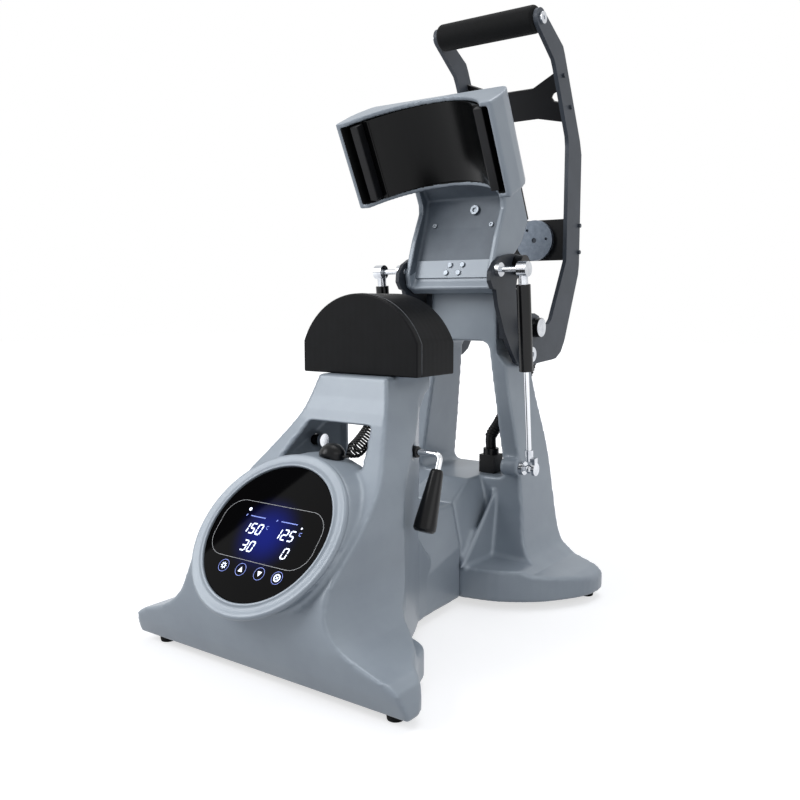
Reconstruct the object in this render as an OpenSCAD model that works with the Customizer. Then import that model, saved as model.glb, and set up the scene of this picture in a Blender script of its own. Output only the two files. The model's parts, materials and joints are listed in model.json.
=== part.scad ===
// Cap heat press with a heated dome below and a heated shell above.
// Shown open: the arm leans back and its handle stands up.
// X points right, Y back and Z up. The origin is on the floor, under the middle of the machine.

/* [Base] */
// Floor to the underside of the castings
foot_gap = 8; // [5:1:14]
// Half width of the front edge of the base
base_half_w = 161.6; // [150:0.1:175]
// Distance from the lower platen's front to the front edge of the base
base_front_reach = 140.2; // [130:0.1:150]
// Wall of the castings
wall = 6; // [4:0.5:8]
// Height of the upright edge round the base
skirt_h = 35; // [28:1:42]
// Half width of the bridge at the joint of the two castings
bridge_half_w = 41; // [34:1:48]
// Height of the bridge's ridge at that joint
bridge_top_z = 112; // [95:1:125]
// Distance from the lower platen's front to the joint of the two castings
joint_reach = 124.3; // [115:0.1:135]

/* [Control panel] */
// Radius of the black glass disc
glass_r = 66; // [55:1:72]
// Thickness of the glass disc
glass_t = 4; // [3:0.5:6]
// Width of the ring round the glass
bezel_w = 14; // [11:0.5:16]
// Lean of the panel back from upright
panel_lean = 40.2; // [32:0.1:48]
// Height of the middle of the glass
panel_z = 129.8; // [124:0.1:136]
// Distance from the lower platen's front to the back of the round housing
drum_back_reach = 44; // [38:1:50]

/* [Lower platen] */
// Half width of the lower platen
dome_half_w = 70; // [62:1:76]
// Radius of the dome
dome_r = 75.6; // [74:0.1:80]
// Height of the dome's top above the pedestal
platen_h = 78.4; // [72:0.1:84]
// Depth of the lower platen, front to back
dome_depth = 63; // [55:1:75]
// Thickness of the silicone cover
pad_t = 6; // [4:0.5:9]
// Thickness of the heated shell
heater_t = 5; // [4:0.5:7]
// Height of the pedestal's top
pedestal_top_z = 258; // [252:1:262]

/* [Column] */
// Height of the main pivot above the rim of the closed housing
pivot_rise = 31.7; // [28:0.1:35]
// Distance from the lower platen's front to the main pivot
pivot_reach = 217.3; // [212:0.1:222]
// Radius of the main shaft
shaft_r = 8; // [6:0.5:10]
// Half width of the column's head
head_half_w = 44; // [38:1:46]
// Top of the column's head above the main pivot
head_rise = 26; // [23:1:29]
// Thickness of each guide bracket
bracket_t = 8; // [6:0.5:9]

/* [Arm] */
// Half width of the upper housing
hood_half_w = 96.3; // [90:0.1:104]
// Length of the upper housing along the arm
hood_len = 96; // [86:1:104]
// Lean of the arm back from its closed place
open_deg = 63.43; // [58:0.01:66]
// Radius of the rim's arch
rim_r = 94; // [92:1:98]
// Depth of the rim below the dome's top when the press is closed
rim_drop = 50.1; // [46:0.1:54]
// Clear space left for the cap between the closed platens
cap_gap = 2.2; // [1:0.1:4]
// Half width of the arm's neck
neck_half_w = 57; // [54:0.5:60]
// Thickness of the arm's side plates
arm_plate_t = 5; // [4:0.5:6]

/* [Handle] */
// Thickness of the handle's side plates
handle_plate_t = 5; // [4:0.5:7]
// Height of the grip's middle above the handle's pivots
grip_rise = 367.5; // [355:0.5:380]
// Radius of the foam grip
grip_r = 15; // [12:0.5:18]
// Radius of the strike disc
disc_r = 25; // [20:0.5:28]
// Radius of the cam rollers
roller_r = 6; // [5:0.5:7]

/* [Gas springs] */
// Distance from an arm side plate to the middle of its gas spring
spring_out = 30.4; // [29:0.1:33]
// Radius of a gas spring's tube
tube_r = 7.5; // [6:0.5:9]
// Radius of a gas spring's rod
rod_r = 2.8; // [2:0.1:4]

/* [Levers and leads] */
// Radius of a cap lever's rod
lever_r = 3; // [2.5:0.1:4]
// Length of a cap lever's grip
lever_grip_len = 58; // [50:1:72]
// Distance from the middle of the machine to a cap lever's grip
lever_x = 93; // [88:1:97]
// Wire radius of the curly lead
curl_wire_r = 1; // [0.8:0.1:1.3]
// Radius of the curls
curl_r = 7.4; // [6:0.1:8.5]
// Outer radius of the ribbed hose
hose_r = 7; // [6:0.1:8]

/* [Fits] */
// Clearance between pieces that pass each other
gap = 0.3; // [0.2:0.05:0.6]
// Radial running clearance of a shaft
run = 0.05; // [0.02:0.01:0.09]

/* [Hidden] */
$fn = 64;
eps = 0.01;

// Colours of the finishes
paint = "#8c97a3";
dark = "#474c55";
black = "#1b1c1f";
chrome = "#c9ccd0";

// Places, measured from the lower platen's front face at y = platen_y
mid_y = -96.7;
platen_y = 12.7 + mid_y;
front_y = platen_y - base_front_reach;
joint_y = platen_y + joint_reach;
pivot_y = platen_y + pivot_reach;
panel_y = platen_y - 126.9;
panel_n = [0, -cos(panel_lean), sin(panel_lean)];
drum_r = glass_r + bezel_w;
bezel_seat = 3;
dome_top_z = pedestal_top_z + platen_h;
rim_closed_z = dome_top_z - rim_drop;
pivot_z = rim_closed_z + pivot_rise;
head_top_z = pivot_z + head_rise;
dome_c_z = dome_top_z - dome_r;
dome_mid_y = platen_y + dome_depth / 2;

// Layers across the machine, from the middle outwards
bracket_x = head_half_w;
washer_t = 1;
plate_x = neck_half_w;
handle_x = plate_x + arm_plate_t + 0.7;
handle_out_x = handle_x + handle_plate_t;
grip_half = handle_x - gap;
spring_half_x = plate_x + arm_plate_t + spring_out;

// Joints of the linkage at rest: arm to handle, cam roller, ball studs
hinge_y = pivot_y + 8;
hinge_z = pivot_z - 49;
cam_y = pivot_y + 18;
cam_z = pivot_z - 19;
top_ball_y = pivot_y - 58;
top_ball_z = pivot_z + 44;
low_ball_y = pivot_y - 35.7;
low_ball_z = pivot_z - 170.5;
grip_z = hinge_z + grip_rise;
bar_y = hinge_y + 119;
bar_z = hinge_z + 135;
bar_t = 6;
disc_t = 5;
x_plate_y = hinge_y + 85;
x_plate_z = hinge_z + 298;
strike_x = 11;
ball_r = 5;
spring_deg = atan2(top_ball_y - low_ball_y, top_ball_z - low_ball_z);
spring_len = norm([top_ball_y - low_ball_y, top_ball_z - low_ball_z]);
tube_top = 16;
tube_len = 92;

// Turns a shape given in the closed arm's place back to the open place
module opened() translate([0, pivot_y, pivot_z]) rotate([-open_deg, 0, 0])
  translate([0, -pivot_y, -pivot_z]) children();
// Copies to the left and right
module both() { children(); mirror([1, 0, 0]) children(); }
// Cylinder along X from x0 to x1 at y, z
module xcyl(y, z, r, x0, x1) translate([x0, y, z]) rotate([0, 90, 0]) cylinder(r = r, h = x1 - x0);
// Cylinder along Y
module ycyl(x, z, r, y0, y1) translate([x, y1, z]) rotate([90, 0, 0]) cylinder(r = r, h = y1 - y0);
// Sheet in the YZ plane from x0 to x1
module sheet_x(points, x0, x1) translate([x0, 0, 0]) rotate([90, 0,
  90]) linear_extrude(x1 - x0) polygon(points);
// Solid with the outline given in XZ, from y0 to y1
module along_y(points, y0, y1) translate([0, y1, 0]) rotate([90, 0,
  0]) linear_extrude(y1 - y0) polygon(points);
// Solid with the outline given in XY, from z0 to z1
module along_z(points, z0, z1) translate([0, 0, z0]) linear_extrude(z1 - z0) polygon(points);
// Socket head screw along X with its head outwards
module x_bolt(y, z, r, head_r, x0, x1, head_h) {
  difference() {
    union() {
      xcyl(y, z, r, x0, x1 + eps);
      xcyl(y, z, head_r, x1, x1 + head_h);
    }
    translate([x1 + head_h * 0.4, y, z]) rotate([0, 90, 0]) cylinder(r = r * 0.62, h = head_h, $fn = 6);
  }
}
// Smooth line through the points, n steps for each span
function spline_point(a, b, c, d, t) = 0.5 * (2 * b + (c - a) * t + (2 * a - 5 * b + 4 * c - d) * t * t
  + (3 * b - a - 3 * c + d) * t * t * t);
function smooth_line(P, n) = [for (i = [0:len(P) - 2]) for (k = [0:n - 1])
  spline_point(P[max(i - 1, 0)], P[i], P[i + 1], P[min(i + 2, len(P) - 1)], k / n), P[len(P) - 1]];
function flip(P) = [for (i = [len(P) - 1:-1:0]) [-P[i][0], P[i][1]]];
function shift_y(P, d) = [for (p = P) [p[0] + d, p[1]]];
// Outline drawn in by t, for points that run with the solid on their left
function inset(P, t) = [for (i = [0:len(P) - 1]) let (d = P[min(i + 1, len(P) - 1)] - P[max(i - 1, 0)])
  P[i] + t / norm(d) * [-d[1], d[0]]];

// Front casting: half width of the pedestal at each height, then of the foot
function pedestal_side(t) = smooth_line([[42 - t, pedestal_top_z - t], [47 - t, 240], [53 - t, 220],
  [64 - t, 197], [78 - t, 171], [85 - t, 150], [87 - t, 130], [85 - t, 108], [83 - t, 90],
  [86 - t, 72], [98 - t, 57 - t / 2], [119 - t, 46 - t], [146 - t, 37 - t]], 3);
function pedestal_view(t) = let (side = concat(pedestal_side(t),
  [[156 - t, 31 - t], [base_half_w - 2 - t, 20], [base_half_w - t, foot_gap - 2 * t]]))
  concat(side, flip(side));
// Front face of the pedestal, seen from the side, top first
function front_line(t) = smooth_line([[-9.1 + t, pedestal_top_z - t], [-22 + t, 225],
  [-43.7 + 1.2 * t, 197],
  [-67 + 1.3 * t, 171], [-86 + 1.4 * t, 154], [-104 + 1.4 * t, 138], [-121 + 1.4 * t, 122],
  [-136 + 1.2 * t, 105], [-146 + t, 88], [-151 + t, 70], [-152 + t, 50], [-147 + t, 25]], 3);
function pedestal_profile(t) = shift_y(concat(front_line(t), [[-base_front_reach + t, foot_gap - 2 * t],
  [70, foot_gap - 2 * t], [70, 60 - 1.2 * t], [34 - t, 100 - 0.3 * t], [37 - t, 150], [36 - t, 205]],
  smooth_line([[38 - t, 220 - t], [48 - t, 235 - t], [63 - t, 243 - t]], 3), [[63 - t,
    pedestal_top_z - t]]), platen_y);
// Plan of the pedestal above the foot
pedestal_half = shift_flip([[-170, 172], [-128, 161], [-118, 157], [-104, 141], [-84, 128], [-70, 113],
  [-60, 99],
  [-52, 92], [-33, 81], [-5, 68], [14, 59], [36, 47.5], [63, 43]]);
function pedestal_plan(t) = let (side = concat(inset(pedestal_half, t), t > 0 ? [[43 - t,
  platen_y + 63 + 2 * t]] : []))
  concat(side, flip(side));
function shift_flip(P) = [for (p = P) [p[1], p[0] + platen_y]];
// Plan of the front foot, right half from the front
foot_side = shift_flip(concat([[-base_front_reach, base_half_w - 11], [-base_front_reach + 4,
  base_half_w - 3],
  [-base_front_reach + 12, base_half_w], [-base_front_reach + 22, base_half_w - 4]],
  smooth_line([[-104, 143], [-84, 131], [-66, 124], [-55, 114], [-47, 98], [-38, 80], [-24, 63], [-10, 50],
  [0, 47]], 3),
  [[joint_reach, bridge_half_w]]));
// Plan of the rear base, right half from the joint
rear_side = shift_flip(concat([[joint_reach, bridge_half_w]],
  smooth_line([[joint_reach + 2, 52], [joint_reach + 10, 82], [154, 112], [176, 132], [205, 149],
  [230, 154], [246, 152]], 3), [[252, 145], [258, 128], [268, 100], [274, 70], [275, 40]]));

// Panel frame: child drawn in the XY plane of the glass, Z out of the glass
module at_panel() translate([0, panel_y, panel_z]) rotate([90 - panel_lean, 0, 0]) children();

// Bridge between the castings, seen from the side and from the front
module bridge(t, y0, y1) {
  top = bridge_top_z - t;
  intersection() {
    along_y(concat([[bridge_half_w + 5 - t, foot_gap - 2 * t], [bridge_half_w + 5 - t, foot_gap + skirt_h],
      [30 - t, 118], [22 - t, 140]], flip([[bridge_half_w + 5 - t, foot_gap - 2 * t],
      [bridge_half_w + 5 - t, foot_gap + skirt_h], [30 - t, 118], [22 - t, 140]])), y0, y1);
    sheet_x([[platen_y + 20, foot_gap - 2 * t], [platen_y + 20, top], [platen_y + joint_reach, top],
      [platen_y + 165, top + 20], [platen_y + 262, top + 20], [platen_y + 262, foot_gap - 2 * t]], -60, 60);
    along_z(shift_flip([[0, 47 - t], [joint_reach, bridge_half_w - t], [262, bridge_half_w - t],
      [262, t - bridge_half_w], [joint_reach, t - bridge_half_w], [0, t - 47]]), 0, 160);
  }
}
module pedestal_solid(t) intersection() {
  along_y(pedestal_view(t), platen_y - 180, platen_y + 90);
  sheet_x(pedestal_profile(t), -180, 180);
  along_z(pedestal_plan(t), foot_gap - 2 * t, 300);
}
module foot_solid(t) intersection() {
  along_y(pedestal_view(t), platen_y - 180, joint_y - t);
  sheet_x(shift_y(concat(front_line(t), [[-base_front_reach + t, foot_gap - 2 * t],
    [joint_reach, foot_gap - 2 * t], [joint_reach, foot_gap + skirt_h - t],
      [36, foot_gap + skirt_h + 6 - t],
    [20, 120]]), platen_y), -180, 180);
  along_z(concat(inset(foot_side, t), flip(inset(foot_side, t))), foot_gap - 2 * t, foot_gap + 26 - t);
}
// Round housing behind the panel: it runs straight back from the ring into the pedestal
drum_z = panel_z - bezel_seat * sin(panel_lean);
module drum_body(t, seat) intersection() {
  along_y([for (a = [0:7.5:352.5]) [(drum_r - t) * cos(a),
    drum_z + (drum_r - t) * cos(panel_lean) * sin(a)]],
    panel_y - drum_r, platen_y - drum_back_reach - t);
  at_panel() translate([-200, -200, -400]) cube([400, 400, 400 - seat]);
}
module front_casting() color(paint) difference() {
  union() {
    difference() {
      union() { pedestal_solid(0); foot_solid(0); bridge(0, platen_y + 20, joint_y); }
      union() { pedestal_solid(wall); foot_solid(wall); bridge(wall, platen_y + 10, joint_y - wall); }
      // Open back of the pedestal above the bridge
      translate([-40, platen_y + 20, bridge_top_z + 4]) cube([80, 60, 114]);
      // Window above the round housing
      along_y([[-37.4, 213.9], [37.4, 213.9], [50, 178], [50, 150], [-50, 150], [-50, 178]],
        platen_y - 100, platen_y + 20);
    }
    drum_body(0, bezel_seat);
    both() translate([foot_x, front_foot_y, foot_gap]) cylinder(r = boss_r, h = 20);
  }
  at_panel() {
    translate([0, 0, -glass_t]) cylinder(r = glass_r + gap, h = 30);
    translate([0, 0, -bezel_seat]) cylinder(r = drum_r + gap, h = 30);
    translate([0, 0, -20]) cylinder(r = glass_r - 5, h = 30);
  }
  drum_body(wall, glass_t + wall);
  ycyl(30, drum_z, 4, platen_y - drum_back_reach - wall - 2, platen_y - drum_back_reach + 1);
  // Seats of the rubber feet screws, cap levers and joint bolts
  both() {
    translate([foot_x, front_foot_y, 0]) cylinder(r = foot_screw_r, h = 30);
    xcyl(lever_y, lever_z, lever_bush_r + run, lever_bush_in - 4, 90);
    for (z = joint_bolt_z) ycyl(joint_bolt_x, z, bolt_r + run, joint_y - wall - 1, joint_y + 1);
  }
  for (p = platen_screw_at) translate([p[0], p[1],
    pedestal_top_z - 20]) cylinder(r = platen_screw_r + run, h = 30);
  translate([lead_x, lead_top_y, pedestal_top_z - 20]) cylinder(r = lead_hole_r, h = 30);
}
foot_x = 138;
front_foot_y = platen_y - 126;
rear_foot_y = platen_y + 237;
foot_screw_r = 2.5;
boss_r = 8;
lever_y = platen_y + 5;
lever_z = 188.5;
lever_bush_r = 5.5;
lever_bush_in = 52;
lever_bush_out = 68;
bolt_r = 4;
joint_bolt_x = 20;
joint_bolt_z = [26, 90];
platen_screw_r = 3;
platen_screw_at = [for (x = [-28, 28]) for (y = [platen_y + 12, platen_y + 46]) [x, y]];
lead_x = 22;
lead_top_y = platen_y + 30;
lead_hole_r = curl_wire_r + 0.6;

// Column: half width at each height, then the legs' inner edge
leg_outer = concat([[head_half_w, head_top_z], [head_half_w, pivot_z - 46]],
  smooth_line([[56, 258], [58.6, 238], [63, 213], [68, 190], [73, 163], [77, 130], [81, 95], [86, 62],
  [98, 42], [112, 33]], 3));
leg_inner = concat([[26, pivot_z - 34], [32, pivot_z - 37], [35, pivot_z - 44]],
  smooth_line([[37, 258], [44, 213], [50, 174],
  [56, 140]], 3), [[54, 134], [48, 131.5]]);
module rear_casting() color(paint) difference() {
  union() {
    difference() {
      union() { column_solid(0); rear_foot(0); bridge(0, joint_y, platen_y + 250); }
      union() { rear_foot(wall); bridge(wall, joint_y + wall, platen_y + 256); }
      // Opening between the legs
      along_y(concat(leg_inner, flip(leg_inner)), platen_y + 150, platen_y + 300);
      // Hollow of the legs, open at the bottom
      both() intersection() {
        column_solid(wall);
        translate([56, platen_y + 150, foot_gap - 20]) cube([60, 150, 120]);
      }
    }
    both() {
      translate([foot_x, rear_foot_y, foot_gap]) cylinder(r = boss_r, h = 18);
      xcyl(low_ball_y, low_ball_z, 10, 60, boss_x);
      // Rib from the leg down to the base
      sheet_x([[pivot_y - 100, 43], [pivot_y - 40, 43], [pivot_y - 28, 120], [pivot_y - 36, 108]], 42, 47);
    }
  }
  both() {
    translate([foot_x, rear_foot_y, 0]) cylinder(r = foot_screw_r, h = 26);
    xcyl(low_ball_y, low_ball_z, stud_r + run, boss_x - 16, boss_x + 1);
    for (z = joint_bolt_z) ycyl(joint_bolt_x, z, bolt_r + run, joint_y - 1, joint_y + wall + 1);
    for (p = bracket_bolt_at) xcyl(p[0], p[1], bolt_r * 0.75 + run, 24, 60);
  }
  xcyl(pivot_y, pivot_z, shaft_r + bush_t + run, -60, 60);
  translate([gland_x, gland_y, 100]) cylinder(r = 5, h = 60);
  ycyl(hose_end_x, hose_end_z, 5.5, head_back_y - 14, head_back_y + 1);
  translate([inlet_x, platen_y + 270, inlet_z]) cube([27, 40, 47], center = true);
}
boss_x = spring_half_x - 10.4;
stud_r = 4;
bush_t = 2;
head_back_y = pivot_y + 28;
gland_x = 26;
gland_y = platen_y + 213;
inlet_x = 0;
inlet_z = 70;
bracket_bolt_at = [[pivot_y - 14, pivot_z - 22], [pivot_y - 14, pivot_z + 14]];
module column_solid(t) intersection() {
  along_z(concat(inset(rear_side, t), flip(inset(rear_side, t))), foot_gap - 3 * t, 400);
  along_y(concat([for (p = leg_outer) [p[0] - t, p[1]]], [[112 - t, foot_gap - 3 * t]],
    flip([for (p = leg_outer) [p[0] - t, p[1]]]), []), platen_y + 150, platen_y + 300);
  sheet_x(shift_y([[191.3 + t, head_top_z - 4], [195 + t, head_top_z], [226, head_top_z],
    [pivot_reach + 28 - t, pivot_z + 12],
    [pivot_reach + 28 - t, 290], [254 - t, 225], [266 - t, 140], [272 - t, 60], [275 - t, 30],
      [275 - t, foot_gap - 3 * t],
    [176 + t, foot_gap - 3 * t], [180 + t, 43], [188 + t, 95], [190.3 + t, 160], [190.3 + t, 300]],
      platen_y), -130, 130);
}
module rear_foot(t) intersection() {
  along_z(concat(inset(rear_side, t), flip(inset(rear_side, t))), foot_gap - 2 * t, 60);
  along_y(concat([[40, 62 - t], [86, 52 - t], [110, 38 - t], [140, 33 - t], [150, 29 - t],
    [160, 20 - t], [160, foot_gap - 3 * t]],
    flip([[40, 62 - t], [86, 52 - t], [110, 38 - t], [140, 33 - t], [150, 29 - t], [160, 20 - t],
      [160, foot_gap - 3 * t]])),
    joint_y, platen_y + 290);
  sheet_x(shift_y([[joint_reach, foot_gap - 2 * t], [joint_reach, foot_gap + skirt_h - t],
    [176, foot_gap + skirt_h - t], [200, 62],
    [276, 62], [276, foot_gap - 2 * t]], platen_y), -170, 170);
}

cover_t = 1.5;
cover_z = foot_gap + 4;
// Sheet covers inside the skirts, under the hollow castings
module bottom_cover_front() color("#5c6066") difference() {
  intersection() {
    union() {
      foot_solid(wall + gap);
      bridge(wall + gap, platen_y + 10, joint_y - wall - gap);
    }
    translate([-200, platen_y - base_front_reach + wall + 6, cover_z]) cube([400, 300, cover_t]);
  }
  both() translate([foot_x, front_foot_y, 0]) cylinder(r = boss_r + 1, h = 30);
}
module bottom_cover_rear() color("#5c6066") difference() {
  intersection() {
    rear_foot(wall + gap);
    translate([-200, joint_y + wall + gap, cover_z]) cube([400, 300, cover_t]);
  }
  both() translate([foot_x, rear_foot_y, 0]) cylinder(r = boss_r + 1, h = 30);
}
module foot_spots() for (s = [-1, 1]) for (y = [front_foot_y, rear_foot_y]) translate([s * foot_x, y,
  0]) children();
module rubber_feet() color(black) foot_spots() difference() {
  cylinder(r1 = 7, r2 = 8, h = foot_gap);
  translate([0, 0, -1]) cylinder(r = foot_screw_r + run, h = 30);
  translate([0, 0, -1]) cylinder(r = 4.6, h = 3.5);
}
module bottom_screws() color(chrome) foot_spots() {
  translate([0, 0, 0.7]) cylinder(r = 4.2, h = 1.8);
  translate([0, 0, 2]) cylinder(r = foot_screw_r, h = 17);
}
// Bolts through the joint of the castings and into the guide brackets
module frame_bolts() color(chrome) both() {
  for (z = joint_bolt_z) {
    ycyl(joint_bolt_x, z, bolt_r, joint_y - wall - 7, joint_y + wall);
    ycyl(joint_bolt_x, z, 6.5, joint_y + wall, joint_y + wall + 5);
    ycyl(joint_bolt_x, z, 6.5, joint_y - wall - 6, joint_y - wall);
  }
  for (p = bracket_bolt_at) xcyl(p[0], p[1], bolt_r * 0.75, 26, bracket_x + bracket_t);
}
module display_bezel() color(paint) at_panel() rotate_extrude($fn = 96)
  polygon([[glass_r + gap, -bezel_seat], [glass_r + gap, 1.2], [glass_r + 1, 1.8],
    [glass_r + 2.4, 1.8], [glass_r + 3.6, 0.9],
  [glass_r + 6, 0.4], [drum_r - 5, 1.1], [drum_r - 2.6, 1.3], [drum_r - 1, 0.6], [drum_r, -1],
    [drum_r, -bezel_seat]]);
module display_glass() color("#07080a") at_panel() translate([0, 0, -glass_t]) cylinder(r = glass_r,
  h = glass_t, $fn = 96);
module control_board() color("#1f5c3a") at_panel() {
  translate([-48, -34, -glass_t - 8]) cube([96, 68, 1.6]);
  for (x = [-42, 42]) for (y = [-28, 28]) translate([x, y, -glass_t - 6.4 - eps]) cylinder(r = 3,
    h = 6.4 + 2 * eps);
  translate([-18, -20, -glass_t - 17]) cube([36, 26, 9 + eps]);
}
// Plastic bushes of the cap levers in the pedestal's sides
module lever_bushes() color(black) both() difference() {
  xcyl(lever_y, lever_z, lever_bush_r, lever_bush_in, lever_bush_out);
  xcyl(lever_y, lever_z, lever_r + run, 0, 90);
}
// Round connector on top of the housing, where the curly lead plugs in
socket_x = 15;
socket_y = platen_y - 56.7;
socket_r = 12;
socket_z = drum_z + drum_r * cos(panel_lean) * sqrt(1 - pow(socket_x / drum_r, 2));
module lead_socket() color(black) translate([socket_x, socket_y, socket_z]) difference() {
  union() {
    translate([0, 0, -3]) cylinder(r = socket_r, h = 6.5);
    translate([0, 0, 3.5 - eps]) intersection() {
      translate([0, 0, -3.5]) sphere(r = 12.5);
      cylinder(r = socket_r, h = 20);
    }
  }
  translate([-socket_x, -socket_y, -socket_z]) drum_body(-gap, bezel_seat);
}
// Curly lead: points of its route from the connector up to the platen
curl_turns = 28;
curl_rings = 8;
lead_in = [socket_x + socket_r + 0.05, socket_y, socket_z + 1];
lead_out = [lead_x, lead_top_y, pedestal_top_z - wall - 10];
function unit(v) = v / norm(v);
function bezier(a, b, c, d, t) = a * pow(1 - t, 3) + 3 * b * t * pow(1 - t,
  2) + 3 * c * t * t * (1 - t) + d * t * t * t;
function lead_mid(t) = bezier(lead_in + [4, 1, 0], lead_in + [8, 28, 10], lead_out - [0, 26, 22],
  lead_out, t);
function lead_dir(t) = unit(lead_mid(min(t + 0.01, 1)) - lead_mid(max(t - 0.01, 0)));
function swell(t) = min(1, t * 7, (1 - t) * 12);
function curl_point(t) = let (d = lead_dir(t), a = unit(cross(d, [0, 1, 0.2])), b = cross(d, a),
  w = curl_turns * 360 * t)
  lead_mid(t) + curl_r * swell(t) * (a * cos(w) + b * sin(w));
curl_count = curl_turns * curl_rings;
curl_path = concat([lead_in, lead_in + [2, 0, 0]], [for (i = [0:curl_count]) curl_point(i / curl_count)],
  [lead_out + [0, 0, 5], lead_out + [0, 0, 12]]);
// Tube of radius r round a path, with n sides
function path_dir(P, i) = unit(P[min(i + 1, len(P) - 1)] - P[max(i - 1, 0)]);
function ring(c, d, r, n, up) = let (a = unit(cross(d, up)), b = cross(d, a))
  [for (k = [0:n - 1]) c + r * (a * cos(360 * k / n) + b * sin(360 * k / n))];
function next_up(d, up) = unit(up - d * (up * d));
function ups(P, i, up) = i >= len(P) ? [] : let (u = next_up(path_dir(P, i), up)) concat([u],
  ups(P, i + 1, u));
function ring_faces(m, n) = [for (j = [0:m - 2]) for (k = [0:n - 1]) for (h = [0, 1]) let (a = j * n + k,
  b = j * n + (k + 1) % n)
  h == 0 ? [a, b + n, b] : [a, a + n, b + n]];
module tube(P, radii, n) {
  U = ups(P, 0, [0.3, 0.9, 0.2]);
  m = len(P);
  points = [for (i = [0:m - 1]) each let (d = path_dir(P, i), b = cross(d, U[i]))
    [for (k = [0:n - 1]) P[i] + radii[i] * (U[i] * cos(360 * k / n) + b * sin(360 * k / n))]];
  caps = [[for (k = [0:n - 1]) k], [for (k = [n - 1:-1:0]) (m - 1) * n + k]];
  polyhedron(points = points, faces = concat(ring_faces(m, n), caps));
}
function gaps_of(P, skip) = min([for (i = [0:len(P) - 1]) for (j = [i + skip:1:len(P) - 1]) norm(P[i] - P[j])]);
module curly_lead() color(black) {
  echo(least_gap_of_curly_lead = gaps_of(curl_path, curl_rings - 1) - 2 * curl_wire_r);
  tube(curl_path, [for (p = curl_path) curl_wire_r], 6);
}
// Ribbed hose from the gland on the bridge to the back of the column's head
hose_end_x = 34;
hose_end_z = pivot_z;
hose_start = [gland_x, gland_y, 160];
hose_end = [hose_end_x, head_back_y + 2, hose_end_z];
hose_route = concat([hose_start, hose_start + [0, 0, 14]],
  [for (p = [[29, 5.4, -132], [32, 21.4, -114], [33, 41.4, -100], [37, 52.4, -84], [42, 58.4, -64],
    [42, 61.4, -42],
  [38, 61.4, -24], [35.5, 57.9, -11]]) p + [0, pivot_y, pivot_z]],
  [hose_end + [0, 20, -2.4], hose_end + [0, 14, 0], hose_end]);
// Splits a fine line into n equal steps
function runs(P) = [for (i = 0, s = 0; i < len(P); s = s + (i < len(P) - 1 ? norm(P[i + 1] - P[i]) : 0),
  i = i + 1) s];
function table(P, S, a) = [for (i = [0:len(P) - 1]) [S[i], P[i][a]]];
function even(P, n) = let (S = runs(P), L = S[len(S) - 1], X = table(P, S, 0), Y = table(P, S, 1),
  Z = table(P, S, 2))
  [for (k = [0:n]) [lookup(L * k / n, X), lookup(L * k / n, Y), lookup(L * k / n, Z)]];
rib_count = 66;
hose_points = even(smooth_line(hose_route, 8), 2 * rib_count);
hose_core = concat([hose_start - [0, 0, 3]], [for (i = [0:4:2 * rib_count]) hose_points[i]],
  [hose_end - [0, 3, 0]]);
plain_rings = 8;
module conduit() color(black) difference() {
  tube(hose_points, [for (i = [0:2 * rib_count]) i < plain_rings || i > 2 * rib_count - plain_rings ||
    i % 2 == 0 ? hose_r - 1 : hose_r], 8);
  tube(hose_core, [for (p = hose_core) hose_r - 2.6], 8);
}
module conduit_gland() color(black) difference() {
  union() {
    translate([gland_x - 10, gland_y - 10, bridge_top_z + 20]) cube([20, 20, 21]);
    translate([gland_x, gland_y, bridge_top_z + 41 - eps]) cylinder(r = 9,
      h = hose_start[2] - bridge_top_z - 41);
    translate([gland_x, gland_y, bridge_top_z + 10]) cylinder(r = 4.9, h = 12);
  }
  translate([gland_x, gland_y, 0]) cylinder(r = 3, h = 300);
}
module platen_bracket() color(chrome) difference() {
  translate([-dome_half_w + 12, platen_y + 7, pedestal_top_z]) cube([2 * dome_half_w - 24,
    dome_depth - 14, 4]);
  for (p = platen_screw_at) translate([p[0], p[1], 0]) cylinder(r = platen_screw_r + run, h = 400);
  translate([lead_x, lead_top_y, 0]) cylinder(r = lead_hole_r, h = 400);
}
// Dome outline, drawn in from the cover's face by t
module dome(t, y0, y1, z0) intersection() {
  ycyl(0, dome_c_z, dome_r - t, y0, y1);
  translate([t - dome_half_w, y0 - 1, z0]) cube([2 * dome_half_w - 2 * t, y1 - y0 + 2, 200]);
}
module lower_pad() color(black) difference() {
  union() {
    dome(0, platen_y, platen_y + dome_depth, dome_c_z);
    translate([-dome_half_w, platen_y, pedestal_top_z + gap]) cube([2 * dome_half_w, dome_depth, 30]);
  }
  dome(pad_t, platen_y + pad_t, platen_y + dome_depth - pad_t, dome_c_z - 1);
  translate([pad_t - dome_half_w, platen_y + pad_t, 200]) cube([2 * (dome_half_w - pad_t),
    dome_depth - 2 * pad_t, dome_c_z - 200 + 27]);
  translate([-44, platen_y - 1, 200]) cube([88, dome_depth + 2, pedestal_top_z + gap - 200 + eps]);
}
module lower_heater() color("#b9bcc0") difference() {
  dome(pad_t + gap, platen_y + pad_t + gap, platen_y + dome_depth - pad_t - gap, pedestal_top_z + 4.2);
  dome(pad_t + heater_t, platen_y + pad_t + heater_t, platen_y + dome_depth - pad_t - heater_t,
    pedestal_top_z + 12);
  for (p = platen_screw_at) translate([p[0], p[1], 0]) cylinder(r = platen_screw_r + run,
    h = pedestal_top_z + 20);
  translate([lead_x, lead_top_y, 0]) cylinder(r = lead_hole_r, h = pedestal_top_z + 20);
}
module platen_screws() color(chrome) for (p = platen_screw_at) translate([p[0], p[1], 0]) {
  translate([0, 0, pedestal_top_z - wall - 4]) cylinder(r = 5.5, h = 4 - eps);
  translate([0, 0, pedestal_top_z - wall - 2]) cylinder(r = platen_screw_r, h = wall + 10);
}
module pivot_shaft() color(chrome) xcyl(pivot_y, pivot_z, shaft_r, -plate_x - arm_plate_t,
  plate_x + arm_plate_t);
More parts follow.
